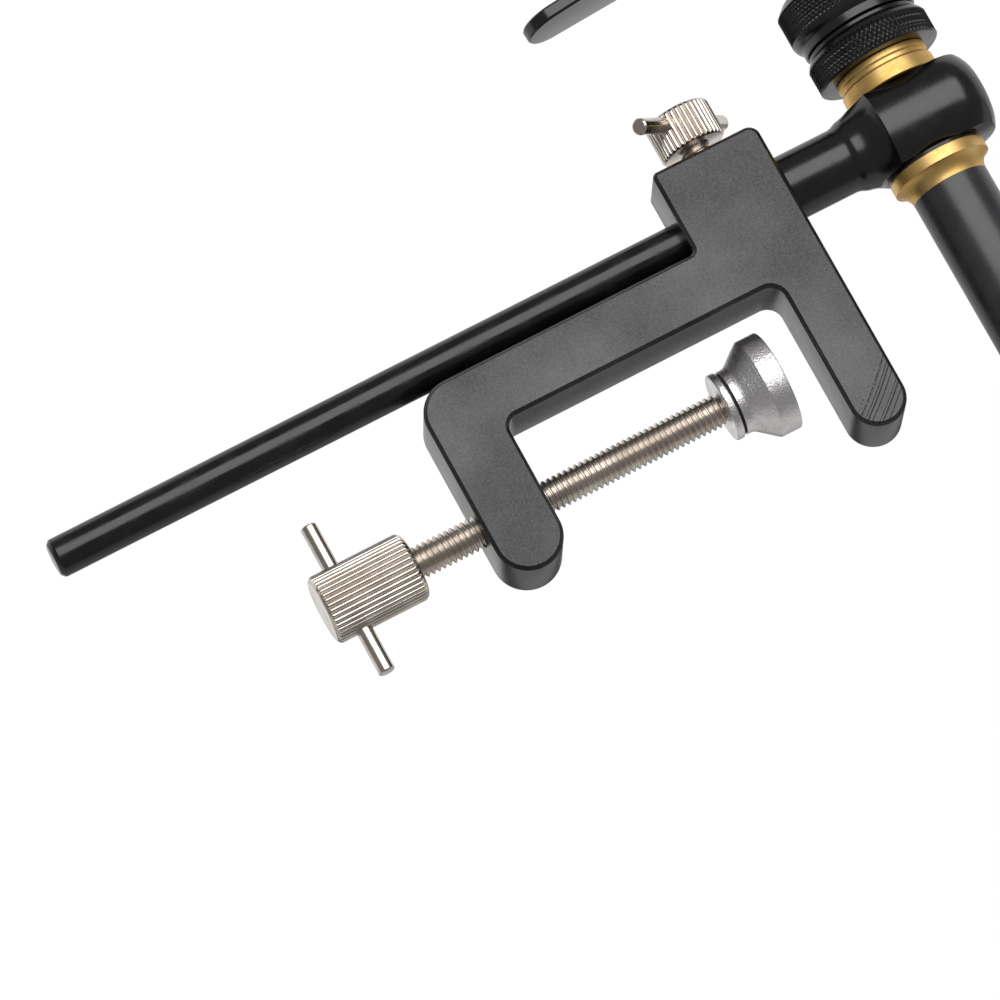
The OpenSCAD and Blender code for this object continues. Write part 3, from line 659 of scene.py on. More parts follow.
@dataclass(frozen=True)
class Finish:
    """A surface finish whose roughness and tone wander with a grain of a real size."""

    name: str
    tint: str  # sRGB hex
    shade: str  # colour that the grain wanders to
    metallic: float = 0.0
    rough: Pair = (0.25, 0.35)  # lowest and highest
    grain: float = 0.3  # its size
    relief: float = 0.002  # height of the grain
    stretch: Triple = (1, 1, 1)  # of the grain along X, Y and Z
    ior: float = 1.5  # of a coat
    cloud: float = 6.0  # size of the slow change of tone

    def material(self) -> bpy.types.Material:
        """Makes the finish's material, once.

        Returns:
            The material, shared by all pieces of this finish.
        """
        made = bpy.data.materials.get(self.name)
        if made is not None:
            return made
        made = bpy.data.materials.new(self.name)
        tree = fresh(made)
        place = add(tree, "TexCoord").outputs["Object"]
        size = [1 / (MM * self.grain * s) for s in self.stretch]
        near = add(tree, "Mapping", {"Vector": place, "Scale": size})
        grain = add(tree, "TexNoise", {"Vector": near, "Scale": 1.0, "Detail": 3.0,
                                       "Roughness": 0.6})
        slow = add(tree, "TexNoise", {"Vector": place, "Scale": 1 / (MM * self.cloud),
                                      "Detail": 2.0})
        both = add(tree, "Math", {0: grain, 1: slow}, operation="MULTIPLY")
        usual = {"From Min": 0.15, "From Max": 0.4}  # where the product of two noises lies
        tone, shine, height = self.pattern(tree, place, grain, both)
        spread = add(tree, "MapRange", {"Value": tone, **usual})
        colour = add(tree, "Mix", {"Factor": spread, 6: linear(self.tint), 7: linear(self.shade)},
                     data_type="RGBA")
        rough = add(tree, "MapRange", {"Value": both, **usual, "To Min": self.rough[0],
                                       "To Max": self.rough[1]})
        bump = add(tree, "Bump", {"Height": height, "Distance": self.relief * MM})
        sockets = {"Base Color": colour.outputs[2], "Roughness": rough, "Normal": bump,
                   "Metallic": self.metallic}
        if self.metallic < 1:
            sockets["IOR"] = self.ior
        if shine is not None:
            sockets["Specular IOR Level"] = shine
        add(tree, "OutputMaterial", {"Surface": add(tree, "BsdfPrincipled", sockets)})
        return made

    def pattern(self, tree: Tree, place: Link, grain: Link, both: Link) -> Drive:
        """What drives tone, shine and height; a plain finish uses its grain alone."""
        return both, None, grain


@dataclass(frozen=True)
class FlyCutAnodised(Finish):
    """Anodised plate with fine curved cutter marks near the end of the upper arm.

    The marks are rings about a far centre, so that they run as shallow arcs: the distance from
    the centre, divided by the feed, is the phase of a thin-line noise. They start at a least
    distance, above the table jaw's face, and are dull because the cutter broke the gloss; their
    darker tone is painted shade in the cut grooves. Patches of the coat are duller than others,
    and the grain makes it gritty.
    """

    centre: Pair = (-60.0, -60.0)  # X and Z of the rings' centre
    feed: float = 0.36  # distance between marks
    first: float = 96.0  # distance from the centre to the first mark
    ragged: float = 6.0  # how far the grain moves that start
    face_y: float = -9.4  # the front face, which alone has marks
    line: Pair = (0.57, 0.62)  # noise that draws a mark, from its edge to its middle
    # the tone that a mark takes is painted shade in its groove
    takes: Triple = (-0.5, -0.38, -3.0)  # what a mark takes from tone, shine and height
    patch: float = 32.0  # size of the duller patches
    gloss: Pair = (0.11, 0.33)  # shine in a patch and out of it
    grit: float = 0.5  # share of the grain in the shine

    def pattern(self, tree: Tree, place: Link, grain: Link, both: Link) -> Drive:
        """Adds the cutter marks and patches to what the plain finish does.

        Args:
            tree: the node tree.
            place: Object coordinates.
            grain: the fine noise.
            both: the product of the fine and the slow noise.

        Returns:
            What drives tone, shine and height.
        """
        parts = add(tree, "SeparateXYZ", {0: place}).outputs
        flat = add(tree, "CombineXYZ", {"X": parts["X"], "Z": parts["Z"]})
        middle = (self.centre[0] * MM, 0.0, self.centre[1] * MM)
        far = add(tree, "VectorMath", {0: flat, 1: middle}, operation="DISTANCE").outputs["Value"]
        steps = add(tree, "TexNoise", {"W": far, "Scale": 1 / (MM * self.feed), "Detail": 2.0},
                    noise_dimensions="1D")
        marks = add(tree, "MapRange", {"Value": steps, "From Min": self.line[0],
                                       "From Max": self.line[1]})
        start = add(tree, "Math", {0: grain, 1: self.ragged * MM, 2: self.first * MM},
                    operation="MULTIPLY_ADD")
        past = add(tree, "Math", {0: far, 1: start}, operation="SUBTRACT")
        for value, low, high in ((past, 0, 1), (parts["Z"], -1, 0),
                                 (parts["Y"], self.face_y + 0.1, self.face_y + 0.02)):
            within = add(tree, "MapRange", {"Value": value, "From Min": low * MM,
                                            "From Max": high * MM})
            marks = add(tree, "Math", {0: marks, 1: within}, operation="MULTIPLY")
        patches = add(tree, "TexNoise", {"Vector": place, "Scale": 1 / (MM * self.patch),
                                         "Detail": 4.0})
        level = add(tree, "MapRange", {"Value": patches, "From Min": 0.38, "From Max": 0.62,
                                       "To Min": self.gloss[0], "To Max": self.gloss[1]})
        grit = add(tree, "Math", {0: grain, 1: self.grit, 2: level}, operation="MULTIPLY_ADD")
        # each mark darkens the tone as painted shade in its groove, dulls the shine and sinks the
        # height
        tone, shine, height = (
            add(tree, "Math", {0: marks, 1: taken, 2: base}, operation="MULTIPLY_ADD")
            for taken, base in zip(self.takes, (both, grit, grain)))
        return tone, shine, height


@dataclass(frozen=True)
class TurnedMetal(Finish):
    """Metal turned about an axis, with fine tool rings as well as its grain.

    The rings follow the distance from the turning axis on end faces and the station along it on
    round faces: the phase of the ring noise is the sum of both over the feed.
    """

    axis: Line = Line.CLAMP_SCREW
    feed: float = 0.25  # distance between tool rings
    rings: float = 1.0  # their height in times the grain's

    def pattern(self, tree: Tree, place: Link, grain: Link, both: Link) -> Drive:
        """Adds the tool rings to the height of the plain finish.

        Args:
            tree: the node tree.
            place: Object coordinates.
            grain: the fine noise.
            both: the product of the fine and the slow noise.

        Returns:
            What drives tone, shine and height.
        """
        line = self.axis.value
        local = add(tree, "VectorMath", {0: place, 1: [v * MM for v in line.origin]},
                    operation="SUBTRACT")
        along = add(tree, "VectorMath", {0: local, 1: line.along}, operation="DOT_PRODUCT")
        across = add(tree, "VectorMath", {0: local, 1: [1.0 - abs(v) for v in line.along]},
                     operation="MULTIPLY")
        far = add(tree, "VectorMath", {0: across}, operation="LENGTH")
        total = add(tree, "Math", {0: far.outputs["Value"], 1: along.outputs["Value"]},
                    operation="ADD")
        rings = add(tree, "TexNoise", {"W": total, "Scale": 1 / (MM * self.feed), "Detail": 2.0},
                    noise_dimensions="1D")
        height = add(tree, "Math", {0: rings, 1: self.rings, 2: grain}, operation="MULTIPLY_ADD")
        return both, None, height


# Fly cut and gloss anodised: an even grey sheen over warm black, with a grit that is drawn
# coarser than the real one so that it shows.
CLAMP_BLACK = FlyCutAnodised("gloss black anodised plate", "#181516", "#302A2C",
                             rough=(0.24, 0.32), grain=0.5, relief=0.007, ior=1.6, cloud=11)
# Drawn, then lacquered: reflections run down the rod as long wavering streaks.
STEM_BLACK = Finish("drawn black rod", "#0B0B0C", "#161617", rough=(0.14, 0.34), grain=0.35,
                    relief=0.007, stretch=(1, 1, 22), ior=1.55)
# Polished before anodising: deep black with soft-edged highlights.
HOUSING_BLACK = Finish("polished black anodised aluminium", "#0B0B0D", "#121214",
                       rough=(0.19, 0.29), grain=0.35, relief=0.004, ior=1.6, cloud=4)
# Blanked and gloss anodised: flat faces with an even, nearly sharp sheen.
LEVER_BLACK = Finish("gloss black anodised lever", "#0E0E10", "#161618", rough=(0.14, 0.22),
                     relief=0.0008, ior=1.6)
# Blasted before anodising: one broad dull highlight along the tube.
BARREL_BLACK = Finish("satin black anodised aluminium", "#29292B", "#343437",
                      rough=(0.27, 0.38), relief=0.003, ior=1.6)
# Rolled knurls, then anodised: black diamonds and teeth whose tips glint.
KNURL_BLACK = Finish("black anodised knurling", "#0C0C0D", "#161618", rough=(0.2, 0.32),
                     grain=0.2, ior=1.6)
# Bright plate over machined steel: warm mirror bands next to dark ones.
NICKEL = Finish("warm nickel plate", "#DDD5CC", "#C4B9AD", 1.0, (0.14, 0.26), 0.4)
# Plate over a cut thread: warm glints on each crest, duller than on the knobs.
SCREW_NICKEL = Finish("nickel plated thread", "#E6DED5", "#C8BEB3", 1.0, (0.24, 0.36),
                      relief=0.003)
# Turned, tumbled and plated: cool silver with a mottled gleam, its pits drawn coarser than real.
PAD_NICKEL = TurnedMetal("turned nickel plated pad", "#F4F2F1", "#DAD7D6", 1.0, (0.26, 0.44),
                         0.55, 0.14, feed=0.3, rings=0.4)
# Turned and dyed: satin yellow metal with faint rings.
GOLD = TurnedMetal("gold anodised aluminium", "#EBC682", "#D9AF5F", 1.0, (0.4, 0.55),
                   relief=0.003, axis=Line.HEAD, feed=0.3, rings=0.5)
# Moulded: a matt black line without highlights.
RUBBER = Finish("black rubber", "#0E0E0E", "#1A1A1A", rough=(0.6, 0.8), grain=0.4, relief=0.01)
# Ground between centres: cool grey with fine rings and a clear highlight.
TOOL_STEEL = TurnedMetal("ground tool steel", "#B7B8BA", "#9A9B9D", 1.0, (0.2, 0.34),
                         axis=Line.HEAD)
# Pressed from powder and oiled: dull brown gold.
BRONZE = Finish("oiled bronze", "#A9803F", "#8C6630", 1.0, (0.3, 0.45), relief=0.003)
# Moulded: milky cream with a waxy sheen.
NYLON = Finish("natural nylon", "#DDD4B8", "#CFC5A6", rough=(0.4, 0.5), grain=0.5,
               relief=0.004, ior=1.53)
# Skived sheet: slippery soft white.
SLIP_PLASTIC = Finish("white slip washer plastic", "#E8E5DB", "#DAD6CA", rough=(0.35, 0.45),
                      grain=0.5, relief=0.003, ior=1.43)
# Oxide on cut steel: dull black with a faint sheen.
BLACK_OXIDE = Finish("black oxide screw", "#19191A", "#262628", rough=(0.3, 0.45), ior=1.6)
# Drawn wire: mid grey with a thin highlight along each coil.
SPRING_WIRE = Finish("drawn spring wire", "#9C9DA0", "#808184", 1.0, (0.25, 0.4), relief=0.003)
# Stamped and coated: a smooth dark edge between gold and black.
WASHER_BLACK = Finish("smooth black washer", "#0C0C0D", "#151516", rough=(0.2, 0.3),
                      relief=0.001)


def wear(obj: Piece, finish: Finish) -> None:
    """Gives an object one finish all over."""
    obj.data.materials.clear()
    obj.data.materials.append(finish.material())


def fit(obj: Piece, finish: Finish, body: str, node: str) -> None:
    """Dresses a new piece, has it ride on its body and stand for its CAD node.

    Args:
        obj: the piece.
        finish: its finish.
        body: the body that it moves with.
        node: the CAD node that it stands for.
    """
    wear(obj, finish)
    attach(obj, body)
    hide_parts(node)
    LOG.info("%s rides on %s", obj.name, body)


# Sub-assemblies


@dataclass(frozen=True)
class Turned:
    """A turned piece."""

    name: str
    node: str  # the CAD node that it stands for
    finish: Finish
    body: str  # the body that it moves with
    slot: str  # not used
    corners: Corners  # station, radius and, if a corner has its own, its rounding
    axis: Axis = Line.HEAD.value
    soft: float = 0.15  # rounding of the other corners
    loop: bool = True  # the profile closes on itself, clear of the axis
    segments: int = 192
    relief: Relief | None = None
    fine: Triple | None = None  # spacing and stations of the band divided for the relief

    def turn(self) -> Piece:
        """Turns the bare shape.

        Returns:
            The linked object.
        """
        profile = rounded(self.corners, self.soft, loop=self.loop)
        if self.fine is not None:
            profile = divided(profile, *self.fine)
        return lathe(self.name, self.axis, profile, self.segments, self.loop, self.relief)

    def build(self) -> None:
        """Makes the piece, dressed and standing for its node."""
        fit(self.turn(), self.finish, self.body, self.node)


def toothed_knob(name: str, body: str, axis: Axis, ends: Pair, slopes: Sequence[Corners],
                 relief: StraightKnurl, spacing: float) -> None:
    """Makes a nickel knob with straight teeth.

    Args:
        name: its CAD node's name.
        body: the body that it moves with.
        axis: the knob's axis.
        ends: its lowest and highest station.
        slopes: for each end its corners, by their distances from that end and from the crest.
        relief: its teeth.
        spacing: step between rings of points.
    """
    (low, high), r = ends, relief.crest
    corners = [(low, 0), *((low + x, r - y) for x, y in slopes[0]),
               *((high - x, r - y) for x, y in slopes[1]), (high, 0)]
    Turned(name + "_knurled", name, NICKEL, body, "nickel", corners, axis, 0.3, False,
           relief.teeth * 16, relief, (spacing, low, high)).build()


def tommy_bar(name: str, body: str, axis: Axis, half: float) -> None:
    """Makes a round nickel cross bar with small end bevels, from -half to half along its axis."""
    Turned(name + "_round", name, NICKEL, body, "nickel", bevelled(-half, half, BAR_R, 0.35),
           axis, 0.12, False, 64).build()


@dataclass
class Clamp:
    """The C-shaped plate that grips the table and holds the stem."""

    half: float = 9.4  # half of its thickness
    bevel: float = 0.85
    block_x: float = -55.0625
    block_z: float = -13.55
    spine_out: float = -33.5875
    spine_in: float = -18.5875
    top: float = 13.65
    throat: float = -71.4  # top of the lower arm
    heel: float = -87.9  # bottom of the lower arm
    upper_tip: float = 23.3
    lower_tip: float = 16.3
    block_r: Pair = (1.4, 2.8)  # corners under and above the block
    step_r: float = 1.5
    heel_r: float = 8.5
    throat_r: Pair = (3.0, 4.0)  # fillets at the throat's foot and head
    screw_bore: Pair = (-95.0, -65.0)  # the ends of its tool, out of the lower arm

    def outline(self) -> Rows:
        """The plate's outline in X and Z, counter-clockwise, with its corner radii."""
        low, high = (self.throat - self.heel) / 2, self.top / 2
        return rounded_outline([
            (self.block_x, self.block_z, self.block_r[0]),
            (self.spine_out, self.block_z, self.step_r), (self.spine_out, self.heel, self.heel_r),
            (self.lower_tip, self.heel, low), (self.lower_tip, self.throat, low),
            (self.spine_in, self.throat, self.throat_r[0]), (self.spine_in, 0, self.throat_r[1]),
            (self.upper_tip, 0, high), (self.upper_tip, self.top, high),
            (self.block_x, self.top, self.block_r[1])])

    def build(self) -> None:
        """Makes the bevelled plate and cuts its three bores."""
        plane = Plane((0, 0, 0), (1, 0, 0), (0, 0, 1), (0, 1, 0))
        obj = plate("clamp_plate", self.outline(), self.half, self.bevel, plane)
        combine(obj, [rod(Line.STEM.value, -REACH, REACH, STEM_BORE_R),
                      rod(Line.CLAMP_SCREW.value, *self.screw_bore, SCREW_BORE_R),
                      rod(Line.LOCK.value, -REACH, 0, SCREW_BORE_R)])
        fit(shade(obj, CUT_CREASE), CLAMP_BLACK, "clamp", "clamp_frame")


@dataclass
class ClampScrew:
    """The clamp screw with its knurled knob and tommy bar."""

    neck_top: float = -15.05
    neck_r: float = 2.4
    neck_in: float = 0.4  # neck inside the thread
    top: float = -24.8
    sunk: float = 12.5  # thread inside the knob
    knob: Pair = (-128.4, -104.4)
    knob_r: float = 8.45
    slopes: Sequence[Corners] = (((0, 0.9), (0.55, 0.35), (0.9, 0)),
                                 ((1.3, 0), (0.4, 0.7), (0, 1.5)))
    teeth: int = 38
    plain: float = 0.6  # rim under the teeth
    bar_z: float = -121.9
    bar_half: float = 19.6

    def build(self) -> None:
        """Makes the thread with its neck, the knob and the bar."""
        axis, (low, high) = Line.CLAMP_SCREW.value, self.knob
        screw = thread("clamp_screw_thread", axis, high - self.sunk, self.top)
        neck = rod(axis, self.top - self.neck_in, self.neck_top, self.neck_r)
        fit(joined("clamp_screw_thread", [screw, neck]), SCREW_NICKEL, "screw",
            "clamp_screw")
        relief = StraightKnurl(self.teeth, TOOTH, low + self.plain, high, self.knob_r)
        toothed_knob("clamp_knob", "screw", axis, self.knob, self.slopes, relief, 0.4)
        level = Axis((0, 0, self.bar_z), (1, 0, 0), (0, 1, 0))
        tommy_bar("clamp_tommy_bar", "screw", level, self.bar_half)


@dataclass
class PressurePad:
    """The coned pad, its rubber ring and its rear disc."""

    face: float = -9.8
    rim: float = -14.8
    rim_r: float = 12.2
    neck: float = -20.1
    neck_r: float = 8.0
    back: float = -21.9
    core_r: float = 0.01  # this far off the axis, so that the profile stays a loop
    socket_r: float = 3.98  # round the swivel ball
    socket_top: float = -12.8
    seat_r: float = 6.0  # round the disc's spigot
    seat: float = -21.15
    ring_r: float = 7.65
    disc: Pair = (-24.5, -22.6)
    disc_r: float = 8.3
    disc_bore: float = 2.7
    gap: float = 0.05  # over the disc's spigot

    def build(self) -> None:
        """Makes the pad's three visible pieces."""
        (low, high), seat_r, bore, core = self.disc, self.seat_r + 0.01, self.disc_bore, self.core_r
        pad = [(self.back, seat_r, 0), (self.back, self.neck_r, 0.1), (self.neck, self.neck_r, 0.9),
               (self.rim, self.rim_r, 0.25), (self.face, self.rim_r, 0.35), (self.face, core, 0),
               (self.socket_top, core, 0), (self.socket_top, self.socket_r, 0),
               (self.seat, self.socket_r, 0), (self.seat, seat_r, 0)]
        ring = [(high, seat_r), (high, self.ring_r), (self.back, self.ring_r), (self.back, seat_r)]
        disc = [(low, bore), (low, self.disc_r, 0.5), (high, self.disc_r, 0.5),
                (high, self.seat_r), (self.seat - self.gap, self.seat_r),
                (self.seat - self.gap, bore)]
        for name, node, finish, slot, corners, soft, segments in (
                ("pressure_pad_turned", "pressure_pad", PAD_NICKEL, "pad_nickel", pad, 0.15, 192),
                ("pad_ring_rubber", "pad_ring", RUBBER, "pad_rubber", ring, 0.2, 128),
                ("pad_disc_turned", "pad_cover_disc", PAD_NICKEL, "pad_nickel", disc, 0.15, 160)):
            Turned(name, node, finish, "pad", slot, corners, Line.CLAMP_SCREW.value, soft,
                   segments=segments).build()


@dataclass
class StemLock:
    """The lock screw with its knurled knob and tommy bar."""

    screw: Pair = (-23.1, -7.07)
    knob: Pair = (-28.4125, -18.6125)
    knob_r: float = 8.15
    slopes: Sequence[Corners] = (((0, 1.3), (0.35, 0.6), (1.0, 0)), ((0.5, 0), (0, 0.5)))
    teeth: int = 36
    plain: float = 0.5  # rim behind the teeth
    past: float = 0.1  # the teeth run out of the knob's front by this
    bar_x: float = -25.4125
    bar_half: float = 18.8
    bar_turn: float = 38.3

    def build(self) -> None:
        """Makes the lock's thread, knob and bar."""
        axis, (low, high) = Line.LOCK.value, self.knob
        fit(thread("lock_screw_thread", axis, *self.screw), SCREW_NICKEL, "lock",
            "lock_screw")
        relief = StraightKnurl(self.teeth, TOOTH, low + self.plain, high + self.past, self.knob_r)
        toothed_knob("lock_knob", "lock", axis, self.knob, self.slopes, relief, 0.35)
        turn = math.radians(self.bar_turn)
        level = Axis((STEM_X + self.bar_x, 0, LOCK_Z), (0, math.cos(turn), math.sin(turn)),
                     (1, 0, 0))
        tommy_bar("lock_tommy_bar", "lock", level, self.bar_half)


@dataclass
class Stem:
    """The round stem that slides in the clamp's block."""

    low: float = -177.2
    high: float = 35.65
    radius: float = 4.7625
    bevel: float = 1.0

    def build(self) -> None:
        """Makes the stem with its bevelled ends."""
        corners = bevelled(self.low, self.high, self.radius, self.bevel)
        Turned("stem_rod", "stem", STEM_BLACK, "post", "stem_black", corners, Line.STEM.value,
               0.4, False, 128).build()


@dataclass
class Head:
    """The housing with its neck, hollow shoulder and flat sides."""

    neck_low: float = 13.7
    neck_r: float = 8.0
    neck_top: float = 31.2
    edge: float = 0.3  # bevel of the neck's foot
    flare: Triple = (0.85, 0.9, 0.9)  # how far flare and hollow stand out, and its rounding
    hollow_r: float = 10.0
    wall: Pair = (39.1, 57.0)
    housing_r: float = 13.7
    crown_r: float = 9.0
    crown_rise: float = 8.3
    flat: float = 9.45  # half of the width over both flats
    barrel_bore: float = 9.01
    socket: Pair = (5.0, 35.95)  # the ends of the stem socket's tool
    set_screw_z: float = 24.65
    set_screw_r: float = 2.01
    set_screw_end: float = 12.0

    def profile(self) -> Rows:
        """Neck, soft flare, hollow, wall, crown and a level roof.

        Returns:
            Rows of station and radius.
        """
        (low, high), (rise, step, soft) = self.wall, self.flare
        start = np.array([self.neck_top, self.neck_r + step])
        end = np.array([low, self.housing_r])
        chord = end - start
        length = float(np.linalg.norm(chord))
        lift = math.sqrt(self.hollow_r**2 - (length / 2) ** 2) / length
        middle = (start + end) / 2 + np.array([-chord[1], chord[0]]) * lift
        a, b = (math.degrees(math.atan2(*(p - middle)[::-1])) for p in (start, end))
        hollow = arc(tuple(middle), self.hollow_r, a, b, 24)
        crown_end = math.degrees(math.acos(self.crown_rise / self.crown_r))
        crown = arc((high, self.housing_r - self.crown_r), self.crown_r, 90, crown_end, 20)
        foot = [(self.neck_low, 0), (self.neck_low, self.neck_r - self.edge),
                (self.neck_low + self.edge, self.neck_r)]
        flare = rounded([(self.neck_top - 4, self.neck_r), (self.neck_top - 1.6, self.neck_r, 1.2),
                         (self.neck_top + 0.2, self.neck_r + rise, soft), hollow[3]], 0.4, 8)
        return np.concatenate([foot, flare, hollow[4:], crown, [(high + self.crown_rise, 0)]])

    def build(self) -> None:
        """Makes the turned body, cuts its flats and bores, and softens what the cuts leave."""
        obj = lathe("head_housing_body", Line.STEM.value, self.profile(), 160)
        room = block((STEM_X - self.flat, -REACH, 0), (STEM_X + self.flat, REACH, 4 * REACH))
        combine(obj, [room], Operation.SHARE)
        combine(obj, [rod(Line.HEAD.value, -REACH, REACH, self.barrel_bore)])
        soften(obj, 0.35, 42)
        back = Axis((STEM_X, 0, self.set_screw_z), (0, 1, 0), (1, 0, 0))
        combine(obj, [rod(Line.STEM.value, *self.socket, STEM_BORE_R),
                      rod(back, 0, self.set_screw_end, self.set_screw_r)])
        fit(shade(obj, 28), HOUSING_BLACK, "head", "head_housing")


@dataclass
class Rotor:
    """Everything that spins with the barrel; its rings' tables leave out their bore."""

    rear: float = -52.9
    journal_r: float = 8.0
    shoulder: float = 17.35
    barrel_r: float = 9.5
    nose: float = 62.35
    seat: float = 54.85  # rear of the sleeve's seat
    seat_r: float = 7.01
    bore: float = 5.2
    spring_end: float = -46.9
    drawbar_bore: float = 2.55
    ring_bore: float = 8.01
    washer: Corners = ((10.45, 11.4), (9.5, 11.4))
    flare_r: Pair = (13.7, 4.2)  # centre and radius of the front collar's hollow
    flare_turn: Pair = (270, 201.5)  # its first and last angle
    front_rim: Corners = ((13.43, 12.2, 0.12), (10.45, 12.2, 0.35))
    rear_collar: Corners = ((-9.5, 11.95, 0.25), (-13.3, 11.75, 0.3), (-13.6, 11.2, 0.2),
                            (-14.7, 11.2, 0.2), (-15.0, 11.55, 0.25), (-16.6, 11.55, 0.3))
    knurl: Pair = (-37.5, -30.2)
    knurl_r: float = 15.84
    knob_front: Corners = ((-26.0, 14.4, 0.25), (-28.1, 14.4, 0.15), (-28.9, 15.35, 0.3),
                           (-30.0, 15.78, 0.3))
    knob_rear: Corners = ((-37.7, 15.6, 0.2), (-39.4, 13.9, 0.8), (-41.3, 11.0, 0.4))

    def build(self) -> None:
        """Makes the barrel, washer, collars and rotation knob."""
        barrel = [(self.rear, self.drawbar_bore), (self.rear, self.journal_r, 0.5),
                  (self.shoulder, self.journal_r), (self.shoulder, self.barrel_r),
                  (self.nose, self.barrel_r, 0.3), (self.nose, self.seat_r),
                  (self.seat, self.seat_r), (self.seat, self.bore), (self.spring_end, self.bore),
                  (self.spring_end, self.drawbar_bore)]
        Turned("barrel_tube", "barrel", BARREL_BLACK, "rotor", "barrel_black", barrel,
               soft=0.0).build()
        hollow = arc((self.shoulder, self.flare_r[0]), self.flare_r[1], *self.flare_turn, 24)
        front = [*((x, y, 0.0) for x, y in hollow), *self.front_rim]
        low, high = self.knurl
        knob = [*self.knob_front, (high, self.knurl_r, 0.0), (low, self.knurl_r, 0.0),
                *self.knob_rear]
        for name, node, finish, slot, corners, extra in (
                ("front_washer_disc", "front_washer", WASHER_BLACK, "washer_black", self.washer,
                 {}),
                ("front_collar_turned", "front_collar", GOLD, "gold", front, {}),
                ("rear_collar_turned", "rear_collar", GOLD, "gold", self.rear_collar, {}),
                ("rotation_knob_knurled", "rotation_knob", KNURL_BLACK, "knurl_black", knob,
                 {"segments": 800, "relief": DiamondKnurl(80, low, high),
                  "fine": (0.16, low, high)})):
            Turned(name, node, finish, "rotor", slot, ringed(corners, self.ring_bore),
                   **extra).build()


@dataclass
class DragRing:
    """The diamond-knurled ring between the rear collar and the rotation knob."""

    front: Triple = (-16.65, 15.05, 0.15)  # station, radius and rounding
    knurl: Pair = (-22.8, -17.0)
    knurl_r: float = 15.45
    rear: Corners = ((-23.7, 15.0, 0.3), (-24.7, 13.95, 0.15), (-25.7, 13.95, 0.3))
    bore: float = 8.05

    def build(self) -> None:
        """Makes the ring."""
        low, high = self.knurl
        ring = [self.front, (high, self.knurl_r, 0.0), (low, self.knurl_r, 0.0), *self.rear]
        Turned("drag_ring_knurled", "drag_ring", KNURL_BLACK, "drag", "knurl_black",
               ringed(ring, self.bore), segments=780, relief=DiamondKnurl(78, low, high),
               fine=(0.16, low, high)).build()


@dataclass
class Adjuster:
    """The straight-knurled hook size adjuster and its thrust washer."""

    rear: float = -57.2
    front: float = -46.2
    radius: float = 11.5
    edge: float = 0.7  # bevel of both rims
    bore: float = 8.05
    rear_bore: float = 2.8
    wall: float = 3.0  # thickness of the rear wall
    washer_r: float = 9.0
    washer_half: float = 0.65
    teeth: int = 60
    depth: float = 0.5  # of the teeth

    def build(self) -> None:
        """Makes the nut, hollow in front, and the washer sunk in its rear."""
        low, high, r, edge = self.rear, self.front, self.radius, self.edge
        hole, half, floor = self.rear_bore, self.washer_half, self.rear + self.wall
        loop = [(low, hole), (low, r - edge, 0.2), (low + edge, r, 0.2), (high - edge, r, 0.2),
                (high, r - edge, 0.2), (high, self.bore, 0.1), (floor, self.bore), (floor, hole)]
        nut = Turned("adjuster_nut_knurled", "adjuster_nut", KNURL_BLACK, "adjuster",
                     "knurl_black", loop, segments=self.teeth * 12,
                     relief=StraightKnurl(self.teeth, self.depth, low, high, r, 0.8),
                     fine=(0.4, low, high))
        obj = combine(nut.turn(), [rod(Line.HEAD.value, low - 1, low + half, self.washer_r + 0.01)])
        fit(shade(obj, CUT_CREASE), nut.finish, nut.body, nut.node)
        washer = [(low - half, hole), (low - half, self.washer_r, 0.2),
                  (low + half, self.washer_r, 0.2), (low + half, hole)]
        Turned("thrust_washer_disc", "thrust_washer", TOOL_STEEL, "thrust", "bare_steel", washer,
               soft=0.1, segments=128).build()


@dataclass
class CamLever:
    """The lever: a cam with a slot for the drawbar's eye, and a tapered paddle blade."""

    pin_x: float = STEM_X - 67.65
    pin_half: float = 9.15
    pin_bore: float = 2.05
    cam_r: float = 8.63
    lift: float = 1.0
    half_w: float = 9.3
    root: float = 4.5  # where the blade starts, inside the cam
    blade_in: float = 0.15  # the blade is narrower than the cam by this at each side
    blade_t: float = 3.2
    length: float = 70.2
    end_r: float = 7.7
    taper: float = 19.0
    lean: float = 5.0
    slot_half: float = 3.3
    slot_r: float = 5.3
    slot_out: float = 18.0

    def blade(self) -> Piece:
        """The blade: distance from the pin runs down along the leaning blade, width along Y.

        Returns:
            The linked object.
        """
        end, w = self.length - self.end_r, self.half_w - self.blade_in
        outline = np.array([(self.root, -w), (end - self.taper, -w),
                            *arc((end, 0), self.end_r, -90, 90, 40), (end - self.taper, w),
                            (self.root, w)])
        sin, cos = math.sin(math.radians(self.lean)), math.cos(math.radians(self.lean))
        plane = Plane((self.pin_x, 0, HEAD_Z), (sin, 0, -cos), (0, 1, 0), (cos, 0, sin))
        return plate("cam_lever_blade", outline, self.blade_t / 2, 0.45, plane, 0.2)

    def build(self) -> None:
        """Joins cam and blade, then cuts the pin's bore and the slot."""
        x, w, r, out = self.pin_x, self.half_w, self.slot_r, self.slot_out
        cross = Axis((x + self.lift, 0, HEAD_Z - self.lift), (0, 1, 0), (0, 0, 1))
        obj = lathe("cam_lever_made", cross, rounded(bevelled(-w, w, self.cam_r, 0.5), 0.2), 160)
        combine(obj, [self.blade()], Operation.JOIN)
        shape = np.array([(out, -r), (out, out), (-r, out), *arc((0, 0), r, 180, 270)])
        middle = Plane((x, 0, HEAD_Z), (1, 0, 0), (0, 0, 1), (0, 1, 0))
        slot = plate("slot", shape, self.slot_half, 0.001, middle, 0.0)
        pin = Axis((x, 0, HEAD_Z), (0, 1, 0), (0, 0, 1))
        combine(obj, [rod(pin, -REACH, REACH, self.pin_bore), slot])
        fit(shade(obj, CUT_CREASE), LEVER_BLACK, "lever", "cam_lever")
        Turned("cam_pin_round", "cam_pin", TOOL_STEEL, "puller", "bare_steel",
               bevelled(-self.pin_half, self.pin_half, BAR_R, 0.4), pin, loop=False,
               segments=64).build()


